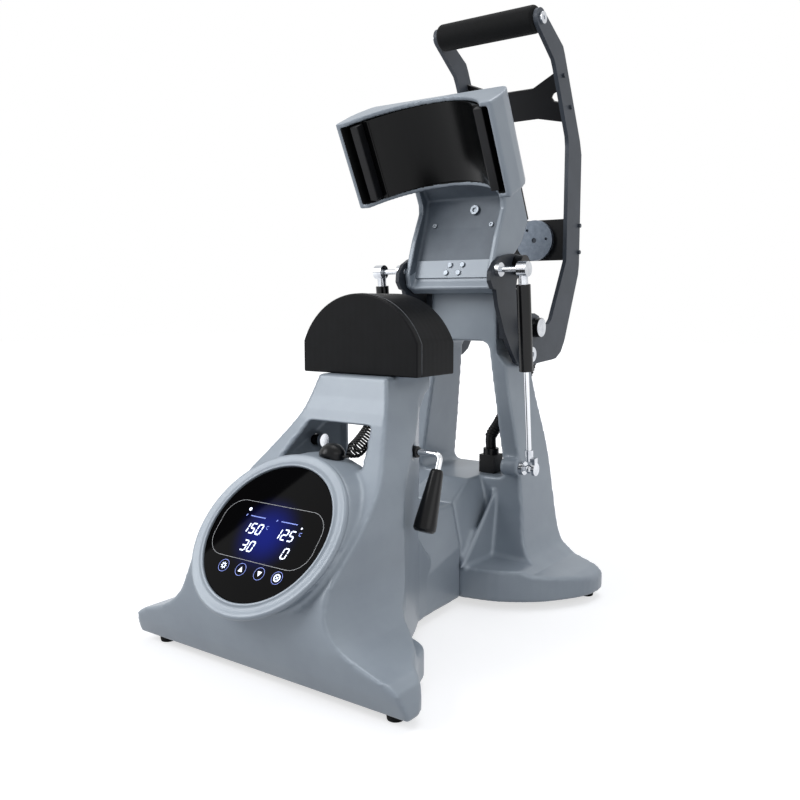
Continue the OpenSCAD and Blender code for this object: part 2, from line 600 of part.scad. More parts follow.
module pivot_bushes() color("#b08d4a") both() difference() {
  xcyl(pivot_y, pivot_z, shaft_r + bush_t, 14, bracket_x + bracket_t);
  xcyl(pivot_y, pivot_z, shaft_r + run, 0, 90);
}
module pivot_washers() color("#b08d4a") both() difference() {
  xcyl(pivot_y, pivot_z, shaft_r + 3.5, bracket_x + bracket_t + 0.2, plate_x - 0.2);
  xcyl(pivot_y, pivot_z, shaft_r + run, 0, 90);
}
slot_y = cam_y - 0.1;
slot_half = roller_r + 1.1;
// Plate beside the column's head, with a bore for the shaft and an upright slot for the cam roller
module guide_bracket() difference() {
  union() {
    xcyl(pivot_y, pivot_z, 18, bracket_x + gap / 3, bracket_x + bracket_t);
    sheet_x([[pivot_y - 24, cam_z - 12], [cam_y + 15, cam_z - 14], [cam_y + 15, cam_z + 26],
      [pivot_y + 10, pivot_z + 15],
      [pivot_y - 18, pivot_z + 22], [pivot_y - 24, pivot_z + 18]], bracket_x + gap / 3,
        bracket_x + bracket_t);
  }
  xcyl(pivot_y, pivot_z, shaft_r + bush_t + run, 0, 90);
  xcyl(slot_y, cam_z - 1, slot_half, 0, 90);
  xcyl(slot_y, cam_z + 16, slot_half, 0, 90);
  translate([0, slot_y - slot_half, cam_z - 1]) cube([90, 2 * slot_half, 17]);
  for (p = bracket_bolt_at) xcyl(p[0], p[1], bolt_r * 0.75 + run, 0, 90);
}
module guide_bracket_right() color(dark) guide_bracket();
module guide_bracket_left() color(dark) mirror([1, 0, 0]) guide_bracket();
module ball_stud(y, z, x0) {
  xcyl(y, z, stud_r, x0 - 15, x0 + eps);
  xcyl(y, z, 7.5, x0, x0 + 5);
  xcyl(y, z, 3, x0 + 5 - eps, spring_half_x);
}
module lower_ball_studs() color(chrome) both() difference() {
  union() {
    ball_stud(low_ball_y, low_ball_z, boss_x);
    translate([spring_half_x, low_ball_y, low_ball_z]) sphere(r = ball_r, $fn = 32);
  }
}
module power_inlet() color(black) difference() {
  union() {
    translate([inlet_x - 16, inlet_back_y, inlet_z - 26]) cube([32, 3, 52]);
    translate([inlet_x - 13, inlet_back_y - 22, inlet_z - 23]) cube([26, 22 + eps, 46]);
  }
  translate([inlet_x - 11, inlet_back_y - 14, inlet_z - 20]) cube([22, 30, 16]);
  translate([inlet_x - 7.5, inlet_back_y - 10, inlet_z + 1.6]) cube([15, 30, 18.8]);
  xcyl(rocker_y, rocker_z, 1.5 + run, -14, 14);
}
inlet_back_y = platen_y + 275;
rocker_y = inlet_back_y - 5;
rocker_z = inlet_z + 11;
module power_rocker() color("#b01a1a") {
  intersection() {
    sheet_x([[rocker_y - 2, rocker_z - 7.6], [inlet_back_y + 3.4, rocker_z - 7.6],
      [inlet_back_y + 2, rocker_z],
      [inlet_back_y + 4.6, rocker_z + 7.6], [rocker_y - 2, rocker_z + 7.6]], -7, 7);
    xcyl(rocker_y, rocker_z, 12.5, -7, 7);
  }
  xcyl(rocker_y, rocker_z, 1.5, -9, 9);
}
module power_board() color("#1f5c3a") {
  translate([-26, joint_y + 20, cover_z + cover_t + 8]) cube([52, 84, 1.6]);
  translate([-18, joint_y + 34, cover_z + cover_t + 9.6 - eps]) cube([30, 34, 24]);
  for (x = [-22, 22]) for (y = [26, 98]) translate([x, joint_y + y, cover_z + cover_t]) cylinder(r = 3,
    h = 8 + eps);
}

// Cap levers: a bent rod in the pedestal's side with a grip that hangs
lever_tilt = 22;
bend_r = 6;
lever_stub = 14;
module lever_rod() color(chrome) {
  translate([lever_x - bend_r, lever_y, lever_z]) rotate([-lever_tilt, 0, 0]) {
    rotate([0, -90, 0]) cylinder(r = lever_r, h = lever_x - bend_r - lever_in_x);
    translate([0, 0, -bend_r]) rotate([90, 0, 0]) rotate_extrude(angle = 90, $fn = 48)
      translate([bend_r, 0]) circle(r = lever_r);
    translate([bend_r, 0, -lever_stub - 2]) cylinder(r = lever_r, h = lever_stub + 2 - bend_r);
  }
  xcyl(lever_y, lever_z, 7, lever_in_x - 4, lever_in_x + eps);
}
lever_in_x = lever_bush_in - gap;
module lever_right() lever_rod();
module lever_left() mirror([1, 0, 0]) lever_rod();
module lever_grip() color(black) translate([lever_x, lever_y, lever_z]) rotate([-lever_tilt, 0, 0])
  translate([0, 0, -lever_stub - lever_grip_len]) rotate_extrude() difference() {
    polygon([[0, 0], [8.5, 0], [10.5, 2.5], [10.5, 8], [6.2, lever_grip_len - 3], [5, lever_grip_len],
      [0, lever_grip_len]]);
    translate([0, lever_grip_len - 2 - eps]) square([lever_r, 3]);
  }
module lever_grip_right() lever_grip();
module lever_grip_left() mirror([1, 0, 0]) lever_grip();

// Arm, described in its closed place: Y along the arm, Z through its depth
hood_back_y = platen_y + 74.8;
hood_front_y = hood_back_y - hood_len;
rim_half_w = hood_half_w - 13.3;
recess_half_w = hood_half_w - 5.3;
end_wall = 5;
rim_c_z = rim_closed_z - sqrt(pow(rim_r, 2) - pow(rim_half_w, 2));
heater_c_z = dome_c_z;
heater_r = dome_r + cap_gap;
upper_t = 5;
hood_depth = 62;
back_z = rim_closed_z + 94;
hood_outline = concat([[hood_half_w, rim_closed_z], [hood_half_w, rim_closed_z + 25]],
  smooth_line([[94, rim_closed_z + 38], [86, rim_closed_z + 54], [74, rim_closed_z + 66],
    [63, rim_closed_z + 78], [57, rim_closed_z + 90], [54, back_z]], 3));
module arm_casting() color(paint) opened() difference() {
  union() {
    intersection() {
      along_y(concat(hood_outline, flip(hood_outline)), hood_front_y, hood_back_y);
      sheet_x(shift_y([[hood_front_y, rim_closed_z], [hood_front_y, rim_closed_z + hood_depth - 4],
        [hood_front_y + 5, rim_closed_z + hood_depth], [hood_back_y - 31, back_z], [hood_back_y, back_z],
        [hood_back_y, rim_closed_z]], 0), -120, 120);
    }
    sheet_x([[hood_back_y - 31, back_z], [neck_end_y - 44, back_z], [neck_end_y - 36, back_z - 12],
      [neck_end_y - 29, back_z - 23],
      [neck_end_y - 24, back_z - 45], [neck_end_y - 12, back_z - 70], [neck_end_y, back_z - 93],
      [neck_end_y - 14, back_z - 103], [neck_end_y - 26, back_z - 100], [neck_end_y - 56, back_z - 70],
      [neck_end_y - 78, back_z - 43], [neck_end_y - 86, back_z - 40], [hood_back_y - 31, back_z - 40]],
        -neck_half_w, neck_half_w);
  }
  // Arch of the rim, with flat shoulders at each side
  ycyl(0, rim_c_z, rim_r, hood_front_y - 1, hood_back_y + 1);
  // Recess for the heated shell, its bars and the wool behind it
  intersection() {
    union() {
      ycyl(0, heater_c_z, heater_r + upper_t + gap, hood_front_y + end_wall, hood_back_y - end_wall);
      translate([-recess_half_w, hood_front_y + end_wall, rim_closed_z - 1]) cube([2 * recess_half_w,
        hood_len - 2 * end_wall, 31]);
      translate([-45, hood_front_y + 34, rim_closed_z]) cube([90, hood_len - 42, 71]);
    }
    translate([-recess_half_w, hood_front_y, 0]) cube([2 * recess_half_w, hood_len, 500]);
  }
  // Channel in the front of the neck and the pocket in its back
  sheet_x([[hood_back_y, rim_closed_z + 10], [hood_back_y + 0.5, rim_closed_z + 60],
    [neck_end_y - 86, back_z - 28], [neck_end_y - 60, back_z - 50],
    [neck_end_y - 40, back_z - 70], [neck_end_y - 16, back_z - 92], [neck_end_y - 4, back_z - 110],
      [hood_back_y + 20, back_z - 120]],
    -neck_in, neck_in);
  sheet_x([[hood_back_y - 22, back_z + 1], [hood_back_y - 22, back_z - 18],
    [neck_end_y - 80, back_z - 22], [neck_end_y - 54, back_z - 42],
    [neck_end_y - 48, back_z - 30], [neck_end_y - 48, back_z + 1]], -48, 48);
  for (p = neck_screw_at) neck_hole(p, screw_r + run);
  for (p = web_screw_at) at_web() translate([p[0], p[1], -8]) cylinder(r = p[2] + run, h = 20);
  both() for (p = plate_bolt_at) xcyl(p[0], p[1], plate_bolt_r + run, neck_in - 1, neck_half_w + 1);
  both() for (p = magnet_bolt_at) translate([p[0], p[1], back_z - 12]) cylinder(r = 2.5 + run, h = 20);
}
neck_end_y = pivot_y - 36.3;
screw_r = 2;
neck_in = neck_half_w - 7;
neck_screw_at = [[-8, 4.5], [8, 4.5], [-4, -4.5], [12, -4.5]];
// Sloping lip at the foot of the channel, Z into the casting
module at_lip() translate([0, neck_end_y - 25.3, back_z - 83.5]) rotate([-42.51, 0, 0]) children();
module neck_hole(p, r) at_lip() translate([p[0], p[1], -4]) cylinder(r = r, h = 14);
// Upper slope of the channel, where three screws hold the housing's frame
module at_web() translate([0, neck_end_y - 73, back_z - 39]) rotate([-40.24, 0, 0]) children();
web_screw_at = [[16, -2.6, 3], [-35, 13, 1.5], [39, 14.6, 1.5]];
plate_bolt_r = 4;
plate_bolt_at = [[neck_end_y - 15.2, rim_closed_z + 40.2]];
magnet_bolt_at = [[52.5, hood_back_y - 14], [52.5, neck_end_y - 52]];
// Outline of an arm side plate at rest, from its top round the left edge
arm_plate_outline = [for (p = [[-27, 62], [-50, 58], [-62, 52], [-71, 42], [-72, 32], [-66, 24],
  [-60, 22.6], [-55, 5], [-41, -22], [-27, -41],
  [-12, -58], [0, -62], [11, -61], [19, -54], [20, -45], [14, -37], [4, -34], [-4, -27], [-8, -16],
    [13, -14],
  [15, -4], [14, 8], [6, 15], [-10, 18], [-16, 24], [-14, 34], [-4, 42], [-3, 54],
    [-12, 62]]) [pivot_y + p[0], pivot_z + p[1]]];
module arm_plate() difference() {
  sheet_x(arm_plate_outline, plate_x, plate_x + arm_plate_t);
  xcyl(pivot_y, pivot_z, shaft_r + run, 0, 90);
  xcyl(hinge_y, hinge_z, pin_r + run, 0, 90);
  xcyl(top_ball_y, top_ball_z, stud_r + run, 0, 90);
  opened() for (p = plate_bolt_at) xcyl(p[0], p[1], plate_bolt_r + run, 0, 90);
  // Room for the cam roller's pin as the handle swings on the arm
  for (k = [0:4]) translate([0, hinge_y, hinge_z]) rotate([k * handle_deg / 4, 0, 0]) translate([0,
    -hinge_y, -hinge_z])
    xcyl(cam_y, cam_z, cam_pin_r + 1, 0, 90);
}
handle_deg = 26.57;
cam_pin_r = 3.5;
pin_r = 5;
module arm_plate_right() color("#3b4147") arm_plate();
module arm_plate_left() color("#3b4147") mirror([1, 0, 0]) arm_plate();
// Curved heated shell with a flat flange along each end
module upper_heater() color(black) opened() {
  intersection() {
    difference() {
      ycyl(0, heater_c_z, heater_r + upper_t, heater_y0, heater_y1);
      ycyl(0, heater_c_z, heater_r, hood_front_y, hood_back_y);
    }
    translate([-flange_x0, hood_front_y, rim_closed_z]) cube([2 * flange_x0, hood_len, 100]);
  }
  both() translate([flange_x0 - 1, heater_y0, flange_z]) cube([flange_x1 - flange_x0 + 1,
    heater_y1 - heater_y0, upper_t]);
}
heater_y0 = hood_front_y + end_wall + gap;
heater_y1 = hood_back_y - end_wall - gap;
flange_x0 = 66;
flange_x1 = 82;
flange_z = rim_closed_z + 16.7;
module heater_end_bars() color(black) opened() both() translate([flange_x1 - 10, heater_y0 + 1,
  flange_z - 12])
  cube([10, heater_y1 - heater_y0 - 2, 12]);
module heater_insulation() color("#d8d5cc") opened() difference() {
  translate([-45 + gap, hood_front_y + 34 + gap, rim_closed_z + 40]) cube([90 - 2 * gap,
    hood_len - 42 - 2 * gap, 30.7]);
  ycyl(0, heater_c_z, heater_r + upper_t + gap, hood_front_y, hood_back_y);
}
module neck_cover() color(paint) opened() difference() {
  at_lip() translate([gap - neck_in, -10, -2.05]) cube([2 * (neck_in - gap), 20, 2]);
  for (p = neck_screw_at) neck_hole(p, screw_r + run);
}
module arm_screws() color(chrome) opened() {
  for (p = neck_screw_at) at_lip() translate([p[0], p[1], 0]) {
    translate([0, 0, -3.8]) cylinder(r = 3, h = 1.75);
    translate([0, 0, -2.1]) cylinder(r = screw_r, h = 11);
  }
  for (p = web_screw_at) at_web() translate([p[0], p[1], 0]) difference() {
    union() {
      translate([0, 0, -p[2]]) cylinder(r = p[2] * 1.8, h = p[2] - 0.05);
      translate([0, 0, -0.1]) cylinder(r = p[2], h = 10);
    }
    translate([0, 0, -p[2] - 1]) cylinder(r = p[2] * 0.9, h = p[2] * 0.6 + 1, $fn = 6);
  }
}
module upper_ball_studs() color(chrome) both() {
  xcyl(top_ball_y, top_ball_z, stud_r, plate_x, plate_x + arm_plate_t + eps);
  xcyl(top_ball_y, top_ball_z, 7.5, plate_x + arm_plate_t, plate_x + arm_plate_t + 5);
  xcyl(top_ball_y, top_ball_z, 3, plate_x + arm_plate_t + 5 - eps, spring_half_x);
  translate([spring_half_x, top_ball_y, top_ball_z]) sphere(r = ball_r, $fn = 32);
}
module arm_plate_bolts() color(black) opened() both() for (p = plate_bolt_at)
  x_bolt(p[0], p[1], plate_bolt_r, 11, neck_in, plate_x + arm_plate_t, 11);
// Place of the handle's pivots and of the strike disc when the press is closed
hinge_closed_y = pivot_y + (hinge_y - pivot_y) * cos(open_deg) - (hinge_z - pivot_z) * sin(open_deg);
hinge_closed_z = pivot_z + (hinge_y - pivot_y) * sin(open_deg) + (hinge_z - pivot_z) * cos(open_deg);
magnet_y = hinge_closed_y - (bar_z - hinge_z);
magnet_top = hinge_closed_z + bar_y - disc_t - hinge_y - 0.5;
magnet_h = magnet_top - back_z - 3;
module electromagnet() color(chrome) opened() translate([strike_x, magnet_y, back_z + 3]) difference() {
  union() {
    cylinder(r = 12, h = magnet_h / 2);
    translate([0, 0, magnet_h / 2 - eps]) cylinder(r = disc_r, h = magnet_h / 2);
  }
  translate([0, 0, magnet_h - 8]) cylinder(r = 7, h = 60);
}
module magnet_base() color(dark) opened() difference() {
  translate([-56, hood_back_y - 24, back_z]) cube([112, neck_end_y - 46 - hood_back_y + 24, 3]);
  both() for (p = magnet_bolt_at) translate([p[0], p[1], 0]) cylinder(r = 2.5 + run, h = 500);
}

// Handle plates: outline at rest, outer edge first
lobe_r = 11;
handle_outline = concat([[307, 619], [312, 611], [358, 520], [363, 505], [363, 372], [361, 361],
  [326, 280], [317, 268], [304, 261], [294, 260], [258, 258], [244, 256], [232, 258], [225, 264],
    [224, 272], [232, 284],
  [233, 300], [238, 311], [248, 315], [258, 312], [266, 305], [276, 301], [284, 302], [291, 308],
    [296, 318], [327, 376], [327, 510], [325, 521],
  [290, 592], [285, 600]], [for (a = [235:-16.5:70]) [252 + lobe_r * cos(a),
    269 + grip_rise + lobe_r * sin(a)]]);
// The outline is drawn round pivots at 238, 269
function rest_yz(P) = [for (p = P) [p[0] - 238 + hinge_y, p[1] - 269 + hinge_z]];
grip_y = hinge_y + 14;
module handle_plate() difference() {
  sheet_x(rest_yz(handle_outline), handle_x, handle_out_x);
  xcyl(hinge_y, hinge_z, pin_r + run, 0, 90);
  xcyl(cam_y, cam_z, cam_pin_r + run, 0, 90);
  xcyl(grip_y, grip_z, 4 + run, 0, 90);
  for (p = handle_screw_at) xcyl(p[0], p[1], 2.5 + run, 0, 90);
}
handle_screw_at = [[bar_y + 3, bar_z - 16], [bar_y + 3, bar_z + 16], [x_plate_y - 14, x_plate_z + 20],
  [x_plate_y + 6, x_plate_z - 12]];
module handle_plate_right() color(dark) handle_plate();
module handle_plate_left() color(dark) mirror([1, 0, 0]) handle_plate();
module grip() color(black) difference() {
  translate([-grip_half, grip_y, grip_z]) rotate([0, 90, 0]) rotate_extrude() polygon(concat(
    [[5.2, 0]], [for (a = [0:15:90]) [grip_r - 4 + 4 * sin(a), 4 - 4 * cos(a)]],
    [for (a = [90:-15:0]) [grip_r - 4 + 4 * sin(a), 2 * grip_half - 4 + 4 * cos(a)]],
      [[5.2, 2 * grip_half]]));
}
module grip_rod() color(chrome) {
  xcyl(grip_y, grip_z, 5, -grip_half, grip_half);
  xcyl(grip_y, grip_z, 4, -handle_out_x, handle_out_x);
  both() x_bolt(grip_y, grip_z, 4, 6.5, handle_x, handle_out_x, 3.5);
}
// Waisted plate between the handle's sides, in the plane of its slant
module cross_plate() color(black) translate([0, x_plate_y, x_plate_z]) rotate([x_plate_deg, 0,
  0]) difference() {
  translate([0, 3, 0]) rotate([90, 0, 0]) linear_extrude(4) difference() {
    polygon(concat([[62, 31], [24, 14], [-24, 14], [-62, 31]], [[-62, -31], [-24, -22], [24, -22],
      [62, -31]]));
    for (s = [-1, 1]) polygon([[s * 70, 13], [s * 49, 4], [s * 46, 0], [s * 48, -4], [s * 70, -11]]);
  }
}
x_plate_deg = 26.6;
module cross_bar() color(black) difference() {
  translate([-grip_half, bar_y, bar_z - 25]) cube([2 * grip_half, bar_t, 50]);
  ycyl(strike_x, bar_z, 3 + run, bar_y - 1, bar_y + 20);
}
module strike_disc() color("#9aa0a8") difference() {
  ycyl(strike_x, bar_z, disc_r, bar_y - disc_t, bar_y);
  ycyl(strike_x, bar_z, 3 + run, bar_y - disc_t - 1, bar_y + 1);
  for (p = [[-10, 12.5], [16.5, 1.5]]) ycyl(strike_x + p[0], bar_z + p[1],
    1.6, bar_y - disc_t - 1, bar_y - 1);
}
module handle_pivot_bolts() color(chrome) both() x_bolt(hinge_y, hinge_z, pin_r, 8.5, plate_x,
  handle_out_x, 4);
module cam_rollers() color(black) both() {
  xcyl(cam_y, cam_z, roller_r, bracket_x + 0.5, bracket_x + bracket_t);
  xcyl(cam_y, cam_z, cam_pin_r, bracket_x + bracket_t - eps, handle_out_x + eps);
  xcyl(cam_y, cam_z, 11, handle_out_x, handle_out_x + 9);
}
module handle_screws() color(chrome) {
  both() for (p = handle_screw_at) xcyl(p[0], p[1], 2.5, handle_x, handle_out_x + 2.5);
  ycyl(strike_x, bar_z, 3, bar_y - disc_t + 1, bar_y + bar_t + 3);
}

// Gas springs: along the line from the lower ball to the upper ball
module at_spring() translate([0, top_ball_y, top_ball_z]) rotate([-spring_deg, 0, 0]) children();
module gas_tube() color(black) at_spring() difference() {
  translate([spring_half_x, 0, -tube_top - tube_len]) cylinder(r = tube_r, h = tube_len);
  translate([spring_half_x, 0, -tube_top - tube_len - 1]) cylinder(r = rod_r + run, h = tube_len - 6);
}
module gas_tube_right() gas_tube();
module gas_tube_left() mirror([1, 0, 0]) gas_tube();
module gas_top_sockets() color(chrome) both() at_spring() difference() {
  union() {
    translate([spring_half_x, 0, 0]) rotate([0, 90, 0]) translate([0, 0, -4.5]) cylinder(r = 8, h = 11);
    translate([spring_half_x, 0, -tube_top]) cylinder(r = 5, h = tube_top - 2);
  }
  translate([spring_half_x, 0, 0]) sphere(r = ball_r + run, $fn = 32);
  translate([spring_half_x, 0, 0]) rotate([0, 90, 0]) translate([0, 0, -6]) cylinder(r = ball_r - 0.6,
    h = 6);
}
rod_in = 8;
module gas_rod() color(chrome) at_spring() translate([spring_half_x, 0, -spring_len + 10])
  cylinder(r = rod_r, h = spring_len - 10 - tube_top - tube_len + rod_in);
module gas_rod_right() gas_rod();
module gas_rod_left() mirror([1, 0, 0]) gas_rod();
module gas_bottom_sockets() color(chrome) both() at_spring() translate([spring_half_x, 0, -spring_len]) {
  difference() {
    union() {
      rotate([0, 90, 0]) translate([0, 0, ball_r + gap]) cylinder(r = 7, h = 3);
      translate([0, 0, 9]) cylinder(r = 4.5, h = 12);
      translate([-2, -3.5, 8.5]) cube([ball_r + gap + 5, 7, 4]);
      translate([ball_r + gap, -3.5, 0]) cube([3, 7, 12]);
    }
    translate([0, 0, 10]) cylinder(r = rod_r + run, h = 20);
  }
}

front_casting();
rear_casting();
bottom_cover_front();
bottom_cover_rear();
bottom_screws();
rubber_feet();
frame_bolts();
display_bezel();
display_glass();
control_board();
lever_bushes();
lead_socket();
curly_lead();
platen_bracket();
lower_heater();
lower_pad();
platen_screws();
pivot_shaft();
pivot_bushes();
pivot_washers();
guide_bracket_left();
guide_bracket_right();
lower_ball_studs();
conduit_gland();
conduit();
power_inlet();
power_rocker();
power_board();
lever_left();
lever_right();
lever_grip_left();
lever_grip_right();
arm_casting();
arm_plate_left();
arm_plate_right();
upper_heater();
heater_insulation();
heater_end_bars();
neck_cover();
arm_screws();
upper_ball_studs();
arm_plate_bolts();
electromagnet();
magnet_base();
handle_plate_left();
handle_plate_right();
grip();
grip_rod();
cross_plate();
cross_bar();
strike_disc();
handle_pivot_bolts();
cam_rollers();
handle_screws();
gas_tube_left();
gas_tube_right();
gas_top_sockets();
gas_rod_left();
gas_rod_right();
gas_bottom_sockets();
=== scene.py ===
# Looks of a cap heat press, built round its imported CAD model. Lengths are in metres.
import json
import math

import bmesh
import bpy
from mathutils import Matrix, Vector
from mathutils.bvhtree import BVHTree


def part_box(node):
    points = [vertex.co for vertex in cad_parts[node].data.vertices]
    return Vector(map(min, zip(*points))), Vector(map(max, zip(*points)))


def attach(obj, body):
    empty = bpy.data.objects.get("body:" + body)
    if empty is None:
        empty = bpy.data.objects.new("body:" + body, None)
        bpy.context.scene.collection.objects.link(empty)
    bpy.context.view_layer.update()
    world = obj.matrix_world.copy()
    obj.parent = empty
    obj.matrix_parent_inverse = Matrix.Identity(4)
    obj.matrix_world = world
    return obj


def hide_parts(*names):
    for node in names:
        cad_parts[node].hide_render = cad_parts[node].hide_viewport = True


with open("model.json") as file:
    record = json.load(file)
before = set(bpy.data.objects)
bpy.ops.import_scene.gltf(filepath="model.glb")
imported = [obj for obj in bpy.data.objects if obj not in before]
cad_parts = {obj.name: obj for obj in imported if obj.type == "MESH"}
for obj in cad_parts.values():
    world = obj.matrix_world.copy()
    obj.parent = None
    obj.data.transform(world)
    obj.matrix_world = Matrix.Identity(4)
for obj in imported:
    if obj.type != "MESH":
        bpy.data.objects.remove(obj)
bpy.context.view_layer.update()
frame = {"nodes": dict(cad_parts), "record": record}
nodes = frame["nodes"]
scene = bpy.context.scene
MM = 0.001

# Studio
# A white paper sweep, one big soft box to the upper left and a weaker one to the right.
# The camera stands low at the right front corner, as the photographer's did.
pitch_down, turned_right = 6.55, 36.07
camera = bpy.data.objects.new("camera", bpy.data.cameras.new("camera"))
camera.data.sensor_width = 36
camera.data.lens = 39.25
camera.data.clip_start = 0.01
camera.location = (0.5284, -0.7401, 0.3301)
camera.rotation_euler = (math.radians(90 - pitch_down), 0, math.radians(turned_right))
scene.collection.objects.link(camera)
scene.camera = camera
scene.view_settings.view_transform = "Standard"


def linear(code):
    """A colour written as sRGB hex, as the linear numbers a shader takes."""
    channels = [int(code[i:i + 2], 16) / 255 for i in (1, 3, 5)]
    return tuple(c / 12.92 if c < 0.04045 else ((c + 0.055) / 1.055) ** 2.4 for c in channels) + (1,)


def add(tree, kind, inputs=None, **settings):
    """Adds a node with its settings, and links or sets its inputs."""
    made = tree.nodes.new(kind)
    for key, value in settings.items():
        setattr(made, key, value)
    for key, value in (inputs or {}).items():
        if isinstance(value, bpy.types.NodeSocket):
            tree.links.new(value, made.inputs[key])
        else:
            made.inputs[key].default_value = value
    return made


def looked_at(tree):
    """1 where a ray comes from the camera, straight or by gloss or glass, and 0 where it only lights."""
    path = add(tree, "ShaderNodeLightPath")
    ways = [path.outputs[kind] for kind in ("Is Camera Ray", "Is Glossy Ray", "Is Transmission Ray")]
    first = add(tree, "ShaderNodeMath", {0: ways[0], 1: ways[1]}, operation="MAXIMUM")
    return add(tree, "ShaderNodeMath", {0: first.outputs[0], 1: ways[2]}, operation="MAXIMUM").outputs[0]


world = bpy.data.worlds.new("paper_room")
world.use_nodes = True
scene.world = world
tree = world.node_tree
tree.nodes.clear()
room = add(tree, "ShaderNodeBackground", {"Color": linear("#f2f5fa"), "Strength": 0.42})
paper = add(tree, "ShaderNodeBackground", {"Color": (1, 1, 1, 1), "Strength": 1.0})
both = add(tree, "ShaderNodeMixShader", {0: looked_at(tree), 1: room.outputs[0], 2: paper.outputs[0]})
add(tree, "ShaderNodeOutputWorld", {"Surface": both.outputs[0]})


def soft_box(name, place, target, size, watts):
    """A square soft box that faces its target."""
    lamp = bpy.data.lights.new(name, "AREA")
    lamp.size = size
    lamp.energy = watts
    box = bpy.data.objects.new(name, lamp)
    box.location = place
    box.rotation_euler = (Vector(target) - Vector(place)).to_track_quat("-Z", "Y").to_euler()
    scene.collection.objects.link(box)


# Places and sizes in metres, power in watts
middle = (0, 0, 0.3)
soft_box("key_box", (-1.3, -1.5, 1.5), middle, 1.2, 28)
soft_box("fill_box", (1.9, -0.5, 1.0), middle, 1.4, 8)
soft_box("top_box", (0.1, 0.5, 2.2), middle, 1.2, 14)

# The paper glows a little more with its distance from the middle, so that it fades into the white behind it
floor_mesh = bpy.data.meshes.new("floor")
paper_sheet = bmesh.new()
bmesh.ops.create_grid(paper_sheet, x_segments=1, y_segments=1, size=6)
paper_sheet.to_mesh(floor_mesh)
paper_sheet.free()
floor = bpy.data.objects.new("floor", floor_mesh)
scene.collection.objects.link(floor)
floor_paint = bpy.data.materials.new("white_paper")
floor_paint.use_nodes = True
tree = floor_paint.node_tree
tree.nodes.clear()
lit = add(tree, "ShaderNodeBsdfDiffuse", {"Color": linear("#8f9093")})
shown = add(tree, "ShaderNodeBsdfDiffuse", {"Color": linear("#c4c5c8")})
spot = add(tree, "ShaderNodeTexCoord").outputs["Object"]
reach = add(tree, "ShaderNodeVectorMath", {0: spot}, operation="LENGTH")
fade = add(tree, "ShaderNodeMapRange", {0: reach.outputs["Value"], 1: 0.35, 2: 1.2, 3: 0.64, 4: 1.0})
glow = add(tree, "ShaderNodeEmission", {"Color": (1, 1, 1, 1), "Strength": fade.outputs[0]})
white = add(tree, "ShaderNodeAddShader", {0: shown.outputs[0], 1: glow.outputs[0]})
both = add(tree, "ShaderNodeMixShader", {0: looked_at(tree), 1: lit.outputs[0], 2: white.outputs[0]})
add(tree, "ShaderNodeOutputMaterial", {"Surface": both.outputs[0]})
floor_mesh.materials.append(floor_paint)

# Castings
# Front base, rear column and arm are sand-cast aluminium with eased edges.
# They are sprayed with a silver-grey metallic paint under a thin clear coat.


def surface(name, code, metallic, roughness, **sockets):
    """A Principled surface of one mean shade, with its tree, its shader and its object coordinates."""
    made = bpy.data.materials.new(name)
    made.use_nodes = True
    tree = made.node_tree
    tree.nodes.clear()
    shader = add(tree, "ShaderNodeBsdfPrincipled", {"Base Color": linear(code), "Metallic": metallic})
    shader.inputs["Roughness"].default_value = roughness
    for key, value in sockets.items():
        shader.inputs[key.replace("_", " ")].default_value = value
    add(tree, "ShaderNodeOutputMaterial", {"Surface": shader.outputs[0]})
    place = add(tree, "ShaderNodeTexCoord").outputs["Object"]
    return made, tree, shader, place


def mottle(tree, shader, place, dark, light, size):
    """Colour that drifts between two close shades; size is the width of a patch in metres."""
    patches = {"Vector": place, "Scale": 1 / size, "Detail": 4.0, "Roughness": 0.55}
    cloud = add(tree, "ShaderNodeTexNoise", patches)
    drift = add(tree, "ShaderNodeMapRange", {0: cloud.outputs["Fac"], 1: 0.32, 2: 0.68})
    shades = {0: drift.outputs[0], "A": linear(dark), "B": linear(light)}
    shade = add(tree, "ShaderNodeMix", shades, data_type="RGBA")
    tree.links.new(shade.outputs["Result"], shader.inputs["Base Color"])


def grain(tree, shader, place, size, depth):
    """Fine relief; size is the width of a bump and depth its height, in metres."""
    bumps = add(tree, "ShaderNodeTexNoise", {"Vector": place, "Scale": 1 / size})
    relief = add(tree, "ShaderNodeBump", {"Height": bumps.outputs[0], "Strength": 1.0, "Distance": depth})
    tree.links.new(relief.outputs[0], shader.inputs["Normal"])


# Metallic paint: aluminium flake under clear lacquer, so it is a little brighter where it faces the lamp.
# Orange peel of a spray gun is about 2 mm wide and a few microns deep.
silver_paint, tree, shader, place = surface(
    "silver_grey_metallic_paint", "#919ba6", 0.15, 0.44, Coat_Weight=0.18, Coat_Roughness=0.15)
mottle(tree, shader, place, "#8c96a1", "#96a0aa", 60 * MM)
grain(tree, shader, place, 2 * MM, 0.012 * MM)


def body_of(node):
    """The CAD body that carries a node."""
    for body, members in frame["record"]["behaviour"]["bodies"].items():
        if node in members:
            return body


def piece(name, shape, finish, body, stands_for=(), smooth=True):
    """Makes an object from a bmesh, gives it its finish and lets it ride on its body."""
    mesh = bpy.data.meshes.new(name)
    shape.to_mesh(mesh)
    shape.free()
    made = bpy.data.objects.new(name, mesh)
    scene.collection.objects.link(made)
    mesh.materials.append(finish)
    if smooth:
        mesh.shade_smooth()
    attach(made, body)
    if stands_for:
        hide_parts(*stands_for)
    return made


def copy_of(node):
    """A bmesh copy of a CAD node with its loose triangles merged."""
    shape = bmesh.new()
    shape.from_mesh(nodes[node].data)
    bmesh.ops.remove_doubles(shape, verts=shape.verts, dist=0.02 * MM)
    return shape


